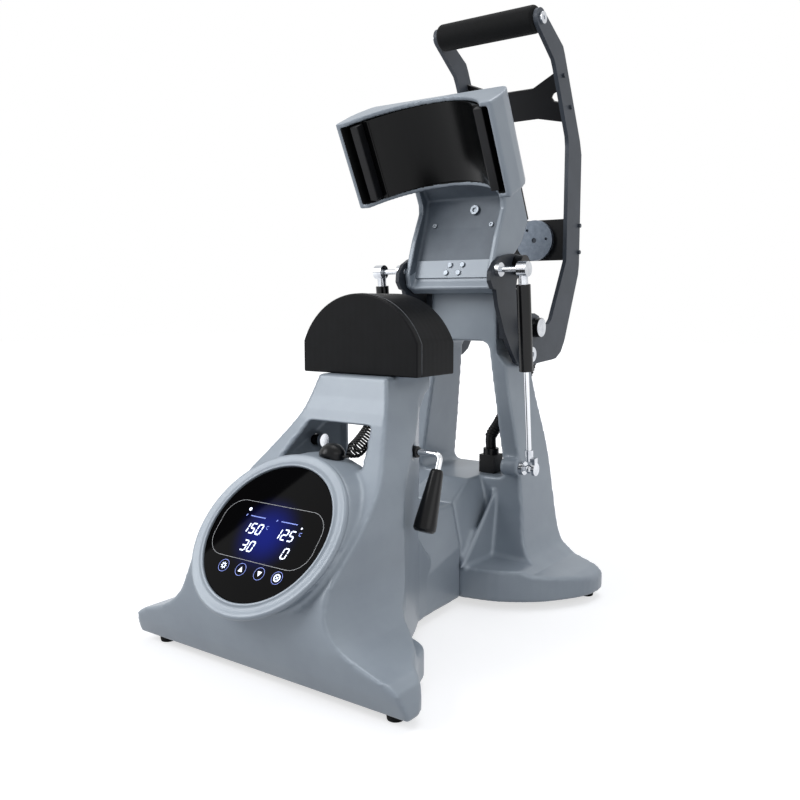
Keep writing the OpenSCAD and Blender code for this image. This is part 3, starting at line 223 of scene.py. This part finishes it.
def finished(made):
    """Replaces a piece's mesh by the result of its modifiers."""
    view = bpy.context.evaluated_depsgraph_get()
    mesh = bpy.data.meshes.new_from_object(
        made.evaluated_get(view), preserve_all_data_layers=True, depsgraph=view)
    made.modifiers.clear()
    made.data = mesh
    return made


def settle(made, node, depth):
    """Lays the flats of a rubbed skin back on the solid; edges that lie deeper than depth stay round."""
    solid = BVHTree.FromBMesh(copy_of(node))
    for v in made.data.vertices:
        near, _, _, away = solid.find_nearest(v.co)
        v.co = v.co.lerp(near, min(1, max(0, 2 - away / depth * 2)))


most_triangles = 185000


def rubbed(made, passes):
    """Rubs the edges of a skin round; more passes give a wider round."""
    rub = made.modifiers.new("rub", "SMOOTH")
    rub.factor = 0.5
    rub.iterations = passes


def cast(node, cell, passes):
    """A casting: the solid's skin in even cells, with every edge rubbed round as the sand leaves it."""
    made = piece(node + "_skin", copy_of(node), silver_paint, body_of(node), [node])
    cells = made.modifiers.new("cells", "REMESH")
    cells.mode = "VOXEL"
    cells.voxel_size = cell
    cells.use_smooth_shade = True
    rubbed(made, passes)
    settle(finished(made), node, 0.4 * MM)
    rubbed(made, 3)
    count = 2 * len(made.data.polygons)
    if count > most_triangles:
        thin = made.modifiers.new("thin", "DECIMATE")
        thin.ratio = most_triangles / count
    return finished(made)


def zone(made, finish, belongs):
    """Gives a second finish to the faces of a piece that belong to a zone."""
    made.data.materials.append(finish)
    for face in made.data.polygons:
        if belongs(face.center, face.normal):
            face.material_index = len(made.data.materials) - 1


large_cell = 1.9 * MM
small_cell = 1.4 * MM
cast("front_casting", large_cell, 8)
cast("rear_casting", large_cell, 8)
arm_skin = cast("arm_casting", small_cell, 4)

# The arm's hollow gets a darker slate grey in its neck, as painted shade of that recess, and black round
# the heater.
# It is told by its place in the closed arm, so a face is first turned back about the hinge.
# Painted shade: the neck's web and channel walls are coloured darker than the casting, for the shade that
# falls in that recess.
painted_shade_web, tree, shader, place = surface("painted_shade_dark_slate_on_neck_web", "#5a646f", 0.1, 0.5)
mottle(tree, shader, place, "#525c67", "#616b76", 40 * MM)
grain(tree, shader, place, 1.5 * MM, 0.03 * MM)
# Black on the walls and ceiling of the hood's recess round the heater.
hollow_black, tree, shader, place = surface(
    "black_on_hood_recess_walls", "#0a0b0c", 0.0, 0.6, Specular_IOR_Level=0.25)
mottle(tree, shader, place, "#070809", "#0c0d0f", 20 * MM)
grain(tree, shader, place, 1.5 * MM, 0.03 * MM)
shaft_low, shaft_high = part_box("pivot_shaft")
hinge = (shaft_low + shaft_high) / 2
closing = Matrix.Rotation(math.radians(63.43), 3, "X")
rim_z, hood_back, hood_front = 286.3 * MM, -9.2 * MM, -105.2 * MM
hood_half_w, hood_wall = 91.5 * MM, 4.4 * MM
neck_half_w, neck_back, neck_foot = 50.6 * MM, 72 * MM, 240 * MM


def in_hood(point, normal):
    """True on the walls and the ceiling of the hood's recess."""
    at, way = closing @ (point - hinge) + hinge, closing @ normal
    across = abs(at.x) < hood_half_w and hood_front + hood_wall < at.y < hood_back - hood_wall
    mouth = Vector((0, (hood_front + hood_back) / 2, rim_z - 40 * MM))
    return across and at.z > rim_z + 0.6 * MM and way.dot(mouth - at) > 0


def in_neck(point, normal):
    """True on the web and the inner walls of the neck's channel, down to its lip."""
    at, way = closing @ (point - hinge) + hinge, closing @ normal
    inside = abs(at.x) < neck_half_w and hood_back - 1 * MM < at.y < neck_back and at.z > neck_foot
    return inside and (way.z < -0.3 or abs(way.x) > 0.5 and way.x * at.x < 0)


zone(arm_skin, painted_shade_web, in_neck)
zone(arm_skin, hollow_black, in_hood)


def eased(node, width, finish):
    """A sheet or turned piece: the solid with its sharp edges broken by a small radius."""
    shape = copy_of(node)
    bmesh.ops.dissolve_limit(shape, angle_limit=math.radians(0.5), verts=shape.verts, edges=shape.edges)
    made = piece(node + "_eased", shape, finish, body_of(node), [node])
    edge = made.modifiers.new("edge", "BEVEL")
    edge.width = width
    edge.segments = 2
    edge.limit_method = "ANGLE"
    edge.angle_limit = math.radians(30)
    even = made.modifiers.new("even", "WEIGHTED_NORMAL")
    even.keep_sharp = True
    return finished(made)


def dress(finish, *names):
    """Gives carried-over CAD nodes their finish."""
    for name in names:
        for slot in nodes[name].material_slots:
            slot.material = finish


eased("display_bezel", 0.4 * MM, silver_paint)
eased("neck_cover", 0.4 * MM, silver_paint)

# Display
# A disc of black printed glass in the ring of the housing, with a touch panel behind it.
# The marks are lit from behind: white-blue figures, a thin outline and four round keys.
lean = math.radians(40.2)
glass_low, glass_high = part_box("display_glass")
glass_middle = (glass_low + glass_high) / 2
glass_out = Vector((0, -math.cos(lean), math.sin(lean)))
glass_up = Vector((0, math.sin(lean), math.cos(lean)))
glass_half_t = 2 * MM
glass_face = glass_middle + glass_out * glass_half_t
to_glass = Matrix.Translation(glass_face) @ Matrix((
    (1, glass_up.x, glass_out.x, 0),
    (0, glass_up.y, glass_out.y, 0),
    (0, glass_up.z, glass_out.z, 0),
    (0, 0, 0, 1)))

# Soda-lime glass printed black on its back: a clear gloss over a dead black, blue where the figures glow.
# Its gloss is drawn weak, since the photograph's glass mirrors a dark room.
black_glass, tree, shader, place = surface(
    "back_printed_black_glass", "#020203", 0.0, 0.03, IOR=1.06, Specular_IOR_Level=0.5)
halo_middle, halo_r = glass_face - glass_up * 2 * MM, 42 * MM
spot = add(tree, "ShaderNodeMapping", {"Vector": place, "Location": tuple(-halo_middle)})
reach = add(tree, "ShaderNodeVectorMath", {0: spot.outputs[0]}, operation="LENGTH")
halo = add(tree, "ShaderNodeMapRange", {0: reach.outputs["Value"], 1: 0.0, 2: halo_r, 3: 1.0, 4: 0.0},
           interpolation_type="SMOOTHERSTEP")
shades = {0: halo.outputs[0], "A": (0, 0, 0, 1), "B": linear("#0b22a0")}
wash = add(tree, "ShaderNodeMix", shades, data_type="RGBA")
tree.links.new(wash.outputs["Result"], shader.inputs["Emission Color"])
shader.inputs["Emission Strength"].default_value = 0.55
eased("display_glass", 0.6 * MM, black_glass)


def lit_mark(name, code, glow_code, strength):
    """Ink or a window in the black print that the lamps behind it light up."""
    made, tree, shader, place = surface(name, code, 0.0, 0.4)
    shader.inputs["Emission Color"].default_value = linear(glow_code)
    shader.inputs["Emission Strength"].default_value = strength
    return made


lit_white = lit_mark("lit_figures", "#dfe9ff", "#dfe8ff", 1.25)
lit_blue = lit_mark("lit_blue_marks", "#5f74c8", "#7f92e6", 0.55)
print_grey = lit_mark("printed_outline", "#8d8f92", "#8d8f92", 0.12)
mark_lift = 0.12 * MM


def stroke(shape, points, width, closed=False):
    """A flat printed line of one width through the points, in the glass's plane."""
    count = len(points)
    for i in range(count if closed else count - 1):
        a, b = Vector(points[i]), Vector(points[(i + 1) % count])
        side = Vector((b.y - a.y, a.x - b.x)).normalized() * width / 2
        corners = (a - side, b - side, b + side, a + side)
        shape.faces.new([shape.verts.new((p.x, p.y, mark_lift)) for p in corners])


def ring_points(x, y, radius, count=28, start=0.0, sweep=360.0):
    """Points of an arc about x, y, from its start angle on; its last point is left for the next piece."""
    turns = [math.radians(start + sweep * i / count) for i in range(count)]
    return [(x + radius * math.cos(turn), y + radius * math.sin(turn)) for turn in turns]


def marks(name, shape, finish):
    """Sets flat marks on the glass, in its own plane."""
    bmesh.ops.recalc_face_normals(shape, faces=shape.faces)
    for face in shape.faces:
        if face.normal.z < 0:
            face.normal_flip()
    bmesh.ops.transform(shape, matrix=to_glass, verts=shape.verts)
    return piece(name, shape, finish, "base", smooth=False)


# The bars of a seven-bar figure by number: top, upper left and right, middle, lower left and right, foot.
# Their ends are shares of the figure's width and height.
bars_of = {
    "0": (0, 1, 2, 4, 5, 6), "1": (2, 5), "2": (0, 2, 3, 4, 6), "3": (0, 2, 3, 5, 6), "5": (0, 1, 3, 5, 6)}
figure_h, figure_w, bar_w, lean_over = 9.4 * MM, 5.0 * MM, 1.25 * MM, 0.16
figure_step, bar_gap = 7.9 * MM, 0.08
bar_ends = [
    ((0, 1), (1, 1)), ((0, 0.5), (0, 1)), ((1, 0.5), (1, 1)), ((0, 0.5), (1, 0.5)),
    ((0, 0), (0, 0.5)), ((1, 0), (1, 0.5)), ((0, 0), (1, 0))]


def figures(shape, text, x, y):
    """Seven-bar figures, the first with its foot at x, y."""
    for at, digit in enumerate(text):
        for bar in bars_of[digit]:
            ends = []
            for (u, v), (u0, v0) in (bar_ends[bar], bar_ends[bar][::-1]):
                u1, v1 = u + (u0 - u) * bar_gap, v + (v0 - v) * bar_gap * 1.2
                left = x + at * figure_step + v1 * figure_h * lean_over
                ends.append((left + u1 * figure_w, y + v1 * figure_h))
            stroke(shape, ends, bar_w)


def dot(shape, x, y, radius, segments):
    """A round lit dot."""
    spot = Matrix.Translation((x, y, mark_lift))
    bmesh.ops.create_circle(shape, cap_ends=True, segments=segments, radius=radius, matrix=spot)


lit = bmesh.new()
figures(lit, "150", -28.6 * MM, -3.9 * MM)
figures(lit, "125", 9.6 * MM, -3.9 * MM)
figures(lit, "30", -20.6 * MM, -20.4 * MM)
figures(lit, "0", 27.0 * MM, -20.0 * MM)
dot(lit, -31.1 * MM, 18.1 * MM, 1.7 * MM, 24)
dot(lit, 35.5 * MM, 9.5 * MM, 0.9 * MM, 16)
# Middles of the four keys, in millimetres: set, up, down and reset
set_key, up_key, down_key, reset_key = (-28.8, -37.4), (-7.9, -37.4), (13.9, -37.2), (34.4, -36.9)
# Arrows of the up and down keys
for x, way in ((up_key[0], 1), (down_key[0], -1)):
    tips = [(x + dx, -37.3 + way * dy) for dx, dy in ((-2.4, -2.2), (2.4, -2.2), (0, 2.6))]
    lit.faces.new([lit.verts.new((tip_x * MM, tip_y * MM, mark_lift)) for tip_x, tip_y in tips])
# Sun of the set key: a ring with eight short rays
sun = Vector(set_key) * MM
stroke(lit, ring_points(sun.x, sun.y, 1.7 * MM), 0.8 * MM, closed=True)
for step in range(8):
    way = Vector((math.cos(step * math.pi / 4), math.sin(step * math.pi / 4)))
    stroke(lit, [sun + way * 2.2 * MM, sun + way * 3.1 * MM], 0.8 * MM)
# Ring and cross of the reset key
cross = Vector(reset_key) * MM
stroke(lit, ring_points(cross.x, cross.y, 3.0 * MM), 1.1 * MM, closed=True)
for side in (-1, 1):
    half_bar = Vector((1.2, side * 1.2)) * MM
    stroke(lit, [cross - half_bar, cross + half_bar], 0.8 * MM)
marks("display_figures", lit, lit_white)

dim = bmesh.new()
for x, y in (set_key, up_key, down_key, reset_key):
    stroke(dim, ring_points(x * MM, y * MM, 5.6 * MM, 40), 0.45 * MM, closed=True)
# A line over each temperature, with a short tick before it
line_y = 12.1
for x0, x1 in ((-26.8, -9.0), (10.2, 29.4)):
    stroke(dim, [(x0 * MM, line_y * MM), (x1 * MM, line_y * MM)], 0.9 * MM)
    tick = [((x0 - 5.4) * MM, (line_y - 0.9) * MM), ((x0 - 4.4) * MM, (line_y + 0.9) * MM)]
    stroke(dim, tick, 1.0 * MM)
# Small open ring after each temperature, for degrees
for x in (-1.4, 37.2):
    stroke(dim, ring_points(x * MM, 4.0 * MM, 1.5 * MM, 12, 50, 280), 0.6 * MM)
marks("display_dim_marks", dim, lit_blue)

# Outline: a rounded field, 118 by 54.6 mm with 20 mm corners
field = []
for cx, cy, start in ((39, 6.2, 0), (-39, 6.2, 90), (-39, -8.8, 180), (39, -8.8, 270)):
    field += ring_points(cx * MM, cy * MM, 19.9 * MM, 14, start, 90)
outline = bmesh.new()
stroke(outline, field, 0.45 * MM, closed=True)
marks("display_outline", outline, print_grey)

# Lower platen
# A heated aluminium dome under a black silicone-foam cover with a cloth face.
# A piped seam runs round it a finger's width behind the front edge, coloured lighter than the pad as a
# painted highlight.
# Cloth face over silicone sponge: threads 0.8 mm apart, drawn at 1.2 mm to show, with a dull sheen.
pad_cloth, tree, shader, place = surface(
    "black_coated_cloth_over_silicone_sponge", "#090a0c", 0.0, 0.5, Specular_IOR_Level=0.13)
mottle(tree, shader, place, "#060709", "#0c0d10", 18 * MM)
thread_step = 1.2 * MM
threads = {"Vector": place, "Scale": 1 / (20 * thread_step)}
warp = add(tree, "ShaderNodeTexWave", threads, bands_direction="X")
weft = add(tree, "ShaderNodeTexWave", threads, bands_direction="Y")
weave = add(tree, "ShaderNodeMath", {0: warp.outputs["Fac"], 1: weft.outputs["Fac"]}, operation="ADD")
relief = add(tree, "ShaderNodeBump", {"Height": weave.outputs[0], "Strength": 0.6, "Distance": 0.06 * MM})
tree.links.new(relief.outputs[0], shader.inputs["Normal"])



def only(kind, parts):
    """The vertices or the edges among a list of mesh parts."""
    return [part for part in parts if isinstance(part, kind)]


pad_low, pad_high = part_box("lower_pad")
half = pad_high.x
dome_r = 75.6 * MM
dome_z = pad_high.z - dome_r
start = math.asin(half / dome_r)
turns = [start * (1 - i / 16) for i in range(33)]
arch = [(dome_r * math.sin(turn), dome_z + dome_r * math.cos(turn)) for turn in turns]
pad = bmesh.new()
gable = [(half, pad_low.z)] + arch + [(-half, pad_low.z)]
front = pad.faces.new([pad.verts.new((x, pad_low.y, z)) for x, z in gable])
drawn = bmesh.ops.extrude_face_region(pad, geom=[front])["geom"]
bmesh.ops.translate(pad, verts=only(bmesh.types.BMVert, drawn), vec=(0, pad_high.y - pad_low.y, 0))
bmesh.ops.recalc_face_normals(pad, faces=pad.faces)
rims = [e for e in pad.edges if e.calc_face_angle(0) > math.radians(60)]
rounded = {"offset_type": "OFFSET", "profile": 0.5, "affect": "EDGES", "material": -1}
bmesh.ops.bevel(pad, geom=rims, offset=1.6 * MM, segments=4, **rounded)
# A groove behind the front edge, where the front panel is sewn in
seam_y, seam_half_w, seam_depth = pad_low.y + 7.7 * MM, 0.8 * MM, 0.8 * MM
for cut in (seam_y - seam_half_w, seam_y, seam_y + seam_half_w):
    geom = pad.verts[:] + pad.edges[:] + pad.faces[:]
    bmesh.ops.bisect_plane(pad, geom=geom, plane_co=(0, cut, 0), plane_no=(0, 1, 0))
for v in pad.verts:
    if abs(v.co.y - seam_y) < 0.1 * MM:
        out = Vector((v.co.x, 0, max(v.co.z - dome_z, 0))).normalized()
        v.co -= out * seam_depth
pad_piece = piece("lower_pad_cover", pad, pad_cloth, "base", ["lower_pad"])
pad_piece.modifiers.new("even", "WEIGHTED_NORMAL")
finished(pad_piece)

# Piping in the groove: a smooth glossy moulded cord, coloured a lighter grey than the pad as a painted
# highlight along the seam
piping, tree, shader, place = surface("cord_lightened_as_painted_highlight", "#3b3f45", 0.0, 0.3)
mottle(tree, shader, place, "#34383e", "#43474e", 6 * MM)
cord = bmesh.new()
at = Vector((half - 0.35 * MM, seam_y, pad_low.z + 2 * MM))
bmesh.ops.create_circle(cord, segments=10, radius=0.65 * MM, matrix=Matrix.Translation(at))
lifted = bmesh.ops.extrude_edge_only(cord, edges=cord.edges[:])["geom"]
rise = dome_z + dome_r * math.cos(start) - at.z
bmesh.ops.translate(cord, verts=only(bmesh.types.BMVert, lifted), vec=(0, 0, rise))
arc = {"cent": (0, at.y, dome_z), "axis": (0, -1, 0), "angle": 2 * start, "steps": 48}
turned_rim = bmesh.ops.spin(cord, geom=only(bmesh.types.BMEdge, lifted), **arc)["geom_last"]
lowered = bmesh.ops.extrude_edge_only(cord, edges=only(bmesh.types.BMEdge, turned_rim))["geom"]
bmesh.ops.translate(cord, verts=only(bmesh.types.BMVert, lowered), vec=(0, 0, -rise))
bmesh.ops.holes_fill(cord, edges=[e for e in cord.edges if e.is_boundary])
bmesh.ops.recalc_face_normals(cord, faces=cord.faces)
piece("lower_pad_piping", cord, piping, "base")

# Upper platen
# A curved aluminium heater with a baked PTFE coat, held by two end bars in the arm's hollow.
# PTFE on rolled aluminium: near black, glossy, with faint long streaks of the rolling.
ptfe, tree, shader, place = surface(
    "baked_ptfe_on_rolled_aluminium", "#060708", 0.0, 0.2, IOR=1.42, Specular_IOR_Level=0.22)
streak = add(tree, "ShaderNodeMapping", {"Vector": place, "Scale": (1, 0.12, 0.12)})
bands = add(tree, "ShaderNodeTexNoise", {"Vector": streak.outputs[0], "Scale": 1 / (4 * MM), "Detail": 2.0})
level = add(tree, "ShaderNodeMapRange", {0: bands.outputs["Fac"], 3: 0.15, 4: 0.3})
tree.links.new(level.outputs[0], shader.inputs["Roughness"])
eased("upper_heater", 0.6 * MM, ptfe)
# Black powder coat: a dull sheen over the slight waviness of the melted powder.
black_coat, tree, shader, place = surface(
    "satin_black_powder_coat", "#0c0d10", 0.0, 0.45, Specular_IOR_Level=0.25)
mottle(tree, shader, place, "#090a0c", "#101115", 25 * MM)
grain(tree, shader, place, 1.2 * MM, 0.03 * MM)
eased("heater_end_bars", 1.2 * MM, black_coat)
# Glass wool pressed to a board: dead matt and cream, with a coarse nap of fibres.
wool, tree, shader, place = surface("pressed_glass_wool", "#d8d2bf", 0.0, 0.95)
grain(tree, shader, place, 2 * MM, 0.4 * MM)
dress(wool, "heater_insulation")
# Milled aluminium: a bare pale metal whose cutter marks spread the light.
bare_alloy, tree, shader, place = surface("milled_aluminium", "#c2c5c9", 1.0, 0.35)
mottle(tree, shader, place, "#b4b7bb", "#cccfd3", 12 * MM)
dress(bare_alloy, "lower_heater")

# Steel side plates
# The handle's and arm's plates are laser-cut 5 mm steel with broken edges.
# They have a dark slate powder coat; cross pieces between them are black.
# Slate powder coat: a satin blue-grey, with the same slight waviness as the black one.
slate_coat, tree, shader, place = surface("slate_powder_coat", "#454b54", 0.1, 0.45, Specular_IOR_Level=0.3)
mottle(tree, shader, place, "#41474f", "#4a5059", 30 * MM)
grain(tree, shader, place, 1.2 * MM, 0.02 * MM)
for node in ("handle_plate_left", "handle_plate_right"):
    eased(node, 0.9 * MM, slate_coat)
eased("handle_screws", 0.35 * MM, slate_coat)
dark_slate_coat, tree, shader, place = surface(
    "dark_slate_powder_coat", "#2c3138", 0.1, 0.42, Specular_IOR_Level=0.3)
mottle(tree, shader, place, "#282d34", "#31363e", 30 * MM)
grain(tree, shader, place, 1.2 * MM, 0.02 * MM)
for node in ("arm_plate_left", "arm_plate_right", "guide_bracket_left", "guide_bracket_right"):
    eased(node, 0.7 * MM, dark_slate_coat)
for node in ("cross_plate", "cross_bar", "magnet_base", "bottom_cover_front", "bottom_cover_rear"):
    eased(node, 0.5 * MM, black_coat)

# Bright steel
# Screws, bolts and studs are zinc-plated, rods and levers hard-chromed.
# The strike disc and the magnet that holds it are blasted and zinc-plated; the arm's shaft runs in bronze.
# Bright zinc: a clean mirror a little dimmed, its shade drifting as the plating's thickness does.
plated, tree, shader, place = surface("bright_plated_steel", "#c9ccd1", 1.0, 0.2)
mottle(tree, shader, place, "#bcbfc5", "#d3d6da", 8 * MM)
for node in ("bottom_screws", "frame_bolts", "platen_screws", "pivot_shaft", "lower_ball_studs",
             "upper_ball_studs", "handle_pivot_bolts", "grip_rod", "gas_top_sockets", "gas_bottom_sockets",
             "platen_bracket"):
    eased(node, 0.35 * MM, plated)
# Dull zinc of the screws in the arm: grey and half matt.
dull_zinc, tree, shader, place = surface("dull_zinc_plated_steel", "#7b8188", 1.0, 0.42)
mottle(tree, shader, place, "#6e747b", "#868c93", 4 * MM)
eased("arm_screws", 0.3 * MM, dull_zinc)
# Hard chrome: a near perfect mirror, with a trace of the polishing.
chrome, tree, shader, place = surface("polished_chrome_on_steel", "#d9dbde", 1.0, 0.07)
grain(tree, shader, place, 2 * MM, 0.004 * MM)
for node in ("gas_rod_left", "gas_rod_right", "lever_left", "lever_right"):
    eased(node, 0.25 * MM, chrome)
# Blasted steel under zinc: a soft blue-grey sparkle from pits about 0.8 mm apart, drawn coarse to show.
blasted, tree, shader, place = surface("blasted_zinc_on_steel", "#7b8592", 0.5, 0.5)
mottle(tree, shader, place, "#727c89", "#858f9b", 5 * MM)
grain(tree, shader, place, 0.8 * MM, 0.03 * MM)
for node in ("strike_disc", "electromagnet"):
    eased(node, 0.5 * MM, blasted)
# Sintered bronze: brown and half matt from its open pores.
bronze, tree, shader, place = surface("sintered_bronze", "#8f6f3c", 1.0, 0.4)
mottle(tree, shader, place, "#86673a", "#9a7a48", 6 * MM)
dress(bronze, "pivot_bushes", "pivot_washers")

# Gas springs
# Two small gas springs lift the arm: enamelled steel tubes with chromed rods and ball sockets.
# The cam rollers and the bolts of the arm's plates have the same finish.
# Gloss black enamel: deep black with a sharp streak of light along each tube.
gloss_black, tree, shader, place = surface(
    "gloss_black_enamel", "#060709", 0.0, 0.2, Specular_IOR_Level=0.3)
mottle(tree, shader, place, "#050608", "#0a0b0d", 15 * MM)
grain(tree, shader, place, 4 * MM, 0.01 * MM)
for node in ("gas_tube_left", "gas_tube_right", "arm_plate_bolts"):
    eased(node, 0.6 * MM, gloss_black)
rollers = eased("cam_rollers", 0.6 * MM, gloss_black)
roller_low, roller_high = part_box("cam_rollers")
axle = (roller_low + roller_high) / 2
axle_head_r = 5 * MM


def on_axle_head(at, way):
    """True on the bright head of the bolt in a roller's middle."""
    return abs(way.x) > 0.9 and math.hypot(at.y - axle.y, at.z - axle.z) < axle_head_r


zone(rollers, plated, on_axle_head)

# Grips and rubber
# Foam rubber sleeve on the handle, moulded grips on the cap levers and rubber feet.
# The lead's socket, the hose's gland and the mains inlet are moulded of the same black as the grips.
# Foam rubber: dead black, with an open skin of pores about 0.9 mm wide.
foam, tree, shader, place = surface("black_foam_rubber", "#060709", 0.0, 0.7, Specular_IOR_Level=0.14)
mottle(tree, shader, place, "#070809", "#0d0e10", 8 * MM)
grain(tree, shader, place, 0.9 * MM, 0.06 * MM)
eased("grip", 1.0 * MM, foam)
eased("rubber_feet", 0.6 * MM, foam)
# Moulded phenolic: black with a soft gloss, slightly wavy where it shrank in its mould.
phenolic, tree, shader, place = surface(
    "moulded_black_phenolic", "#0a0b0d", 0.0, 0.3, Specular_IOR_Level=0.22)
mottle(tree, shader, place, "#07080a", "#0d0e11", 12 * MM)
grain(tree, shader, place, 5 * MM, 0.01 * MM)
for node in ("lever_grip_left", "lever_grip_right", "lever_bushes", "lead_socket", "conduit_gland"):
    eased(node, 0.6 * MM, phenolic)
eased("power_inlet", 0.4 * MM, phenolic)
# Red moulded nylon of the mains rocker: an even bright gloss.
red_nylon, tree, shader, place = surface("red_moulded_nylon", "#a51414", 0.0, 0.3)
grain(tree, shader, place, 3 * MM, 0.02 * MM)
eased("power_rocker", 0.4 * MM, red_nylon)

# Three flat nickel-plated pins stand in the inlet's well, the earth pin in the middle and higher
inlet_low, inlet_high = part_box("power_inlet")
well = Vector((0, inlet_high.y - 7 * MM, (inlet_low.z + inlet_high.z) / 2 - 12 * MM))
pin_size = Matrix.Diagonal((2 * MM, 13 * MM, 4 * MM, 1))
pins = bmesh.new()
for x, z in ((-7, -2), (0, 2), (7, -2)):
    stood = Matrix.Translation(well + Vector((x, 0, z)) * MM) @ pin_size
    bmesh.ops.create_cube(pins, size=1, matrix=stood)
bmesh.ops.bevel(pins, geom=pins.edges[:], offset=0.4 * MM, segments=2, **rounded)
piece("inlet_pins", pins, plated, "base", smooth=False)

# Leads
# A curly silicone lead feeds the lower platen: a fine cable wound in close curls and set by heat.
# A ribbed nylon hose carries the arm's wires from the gland on the base up to the column's head.
# Silicone sleeve of the lead: black and smooth, with a thin bright line along each curl.
cable, tree, shader, place = surface("black_silicone_sleeve", "#090a0c", 0.0, 0.35, Specular_IOR_Level=0.3)
mottle(tree, shader, place, "#060708", "#0c0d0f", 5 * MM)
lead_from = Vector((27.05, -140.7, 188.884)) * MM
lead_to = Vector((22, -54, 242)) * MM
bows = [
    lead_from + Vector((4, 1, 0)) * MM, lead_from + Vector((8, 28, 10)) * MM,
    lead_to - Vector((0, 26, 22)) * MM, lead_to]


def lead_line(t):
    """The line that the curls wind round."""
    a, b, c, d = bows
    return a * (1 - t) ** 3 + b * (3 * t * (1 - t) ** 2) + c * (3 * t * t * (1 - t)) + d * t ** 3


curls, steps_per_curl, curl_r, cable_r = 28, 28, 7.4 * MM, 1 * MM
curly = [lead_from, lead_from + Vector((2 * MM, 0, 0))]
for i in range(curls * steps_per_curl + 1):
    t = i / (curls * steps_per_curl)
    way = (lead_line(min(t + 0.01, 1)) - lead_line(max(t - 0.01, 0))).normalized()
    across = way.cross(Vector((0, 1, 0.2))).normalized()
    around = 2 * math.pi * curls * t
    reach = curl_r * min(1, t * 7, (1 - t) * 12)
    out = across * math.cos(around) + way.cross(across) * math.sin(around)
    curly.append(lead_line(t) + out * reach)
curly += [lead_to + Vector((0, 0, 5 * MM)), lead_to + Vector((0, 0, 12 * MM))]


def length_of(points):
    """The length of a line from point to point."""
    return sum((b - a).length for a, b in zip(points, points[1:]))


def drawn_line(name, points, radii, thickest, sides):
    """A round line drawn along points, as thick at each as its radius says."""
    line = bpy.data.curves.new(name, "CURVE")
    line.dimensions = "3D"
    line.bevel_depth = thickest
    line.bevel_resolution = sides
    spline = line.splines.new("POLY")
    spline.points.add(len(points) - 1)
    for point, at, radius in zip(spline.points, points, radii):
        point.co = (*at, 1)
        point.radius = radius / thickest
    made = bpy.data.objects.new(name, line)
    scene.collection.objects.link(made)
    return made


lead = drawn_line("curly_lead_cable", curly, [cable_r] * len(curly), cable_r, 3)
lead.data.use_fill_caps = True
lead.data.materials.append(cable)
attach(lead, "base")
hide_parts("curly_lead")

# Points of the hose's middle line from the gland up to the column's head, listed in millimetres
hose_line = [Vector(p) * MM for p in (
    (26, 129, 160), (26, 129, 174), (29, 138.7, 186), (32, 154.7, 204), (33, 174.7, 218),
    (37, 185.7, 234), (42, 191.7, 254), (42, 194.7, 276), (38, 194.7, 294), (35.5, 191.2, 307),
    (34, 183.3, 315.6), (34, 177.3, 318), (34, 163.3, 318))]


def smooth_line(points, steps):
    """A smooth line through the points, cut in equal steps."""
    fine = []
    for i in range(len(points) - 1):
        p0, p1, p2, p3 = (points[min(max(i + k, 0), len(points) - 1)] for k in (-1, 0, 1, 2))
        speed, bend, twist = p2 - p0, p0 * 2 - p1 * 5 + p2 * 4 - p3, p1 * 3 - p0 - p2 * 3 + p3
        for k in range(24):
            t = k / 24
            fine.append((p1 * 2 + speed * t + bend * t * t + twist * t ** 3) / 2)
    fine.append(points[-1])
    step = length_of(fine) / steps
    even_line, done, target = [fine[0]], 0.0, step
    for a, b in zip(fine, fine[1:]):
        span = (b - a).length
        while span > 0 and done + span >= target - 1e-9 and len(even_line) < steps:
            even_line.append(a.lerp(b, (target - done) / span))
            target += step
        done += span
    even_line.append(fine[-1])
    return even_line


# The hose is ribbed all along but for four ribs' length at each end, which its fittings hold
ribs, plain_ribs, hose_r, rib_h, hose_wall = 66, 4, 7 * MM, 1 * MM, 1.4 * MM
rib_shape = (0, 0.45, 0.95, 1, 0.95, 0.45)
per_rib = len(rib_shape)
hose_points = smooth_line(hose_line, ribs * per_rib)
hose_radii = []
for i in range(len(hose_points)):
    ribbed = plain_ribs * per_rib <= i <= (ribs - plain_ribs) * per_rib
    hose_radii.append(hose_r - rib_h + (rib_h * rib_shape[i % per_rib] if ribbed else 0))
# Ribbed nylon: black and half matt, each rib with a short bright line on its crest.
nylon, tree, shader, place = surface("black_ribbed_nylon", "#0a0b0d", 0.0, 0.4, Specular_IOR_Level=0.2)
mottle(tree, shader, place, "#07080a", "#0d0e10", 10 * MM)
drawn_hose = drawn_line("hose_line", hose_points, hose_radii, hose_r, 6)
view = bpy.context.evaluated_depsgraph_get()
hose_skin = bmesh.new()
hose_skin.from_mesh(bpy.data.meshes.new_from_object(drawn_hose.evaluated_get(view)))
bpy.data.objects.remove(drawn_hose)
bmesh.ops.remove_doubles(hose_skin, verts=hose_skin.verts, dist=0.01 * MM)
bmesh.ops.recalc_face_normals(hose_skin, faces=hose_skin.faces)
hose = piece("ribbed_hose", hose_skin, nylon, "base", ["conduit"])
bore = hose.modifiers.new("bore", "SOLIDIFY")
bore.thickness = hose_wall
bore.offset = -1
finished(hose)

# Boards
# Circuit boards behind the panel and in the base, etched from glass-fibre laminate.
# Green solder mask: a soft gloss, paler where a copper track runs under it.
board, tree, shader, place = surface("green_solder_mask", "#14503a", 0.0, 0.35)
tracks = add(tree, "ShaderNodeTexBrick", {
    "Vector": place, "Scale": 1 / (8 * MM),
    "Color1": linear("#14503a"), "Color2": linear("#1a5f45"), "Mortar": linear("#0f3d2c")})
tree.links.new(tracks.outputs["Color"], shader.inputs["Base Color"])
dress(board, "control_board", "power_board")
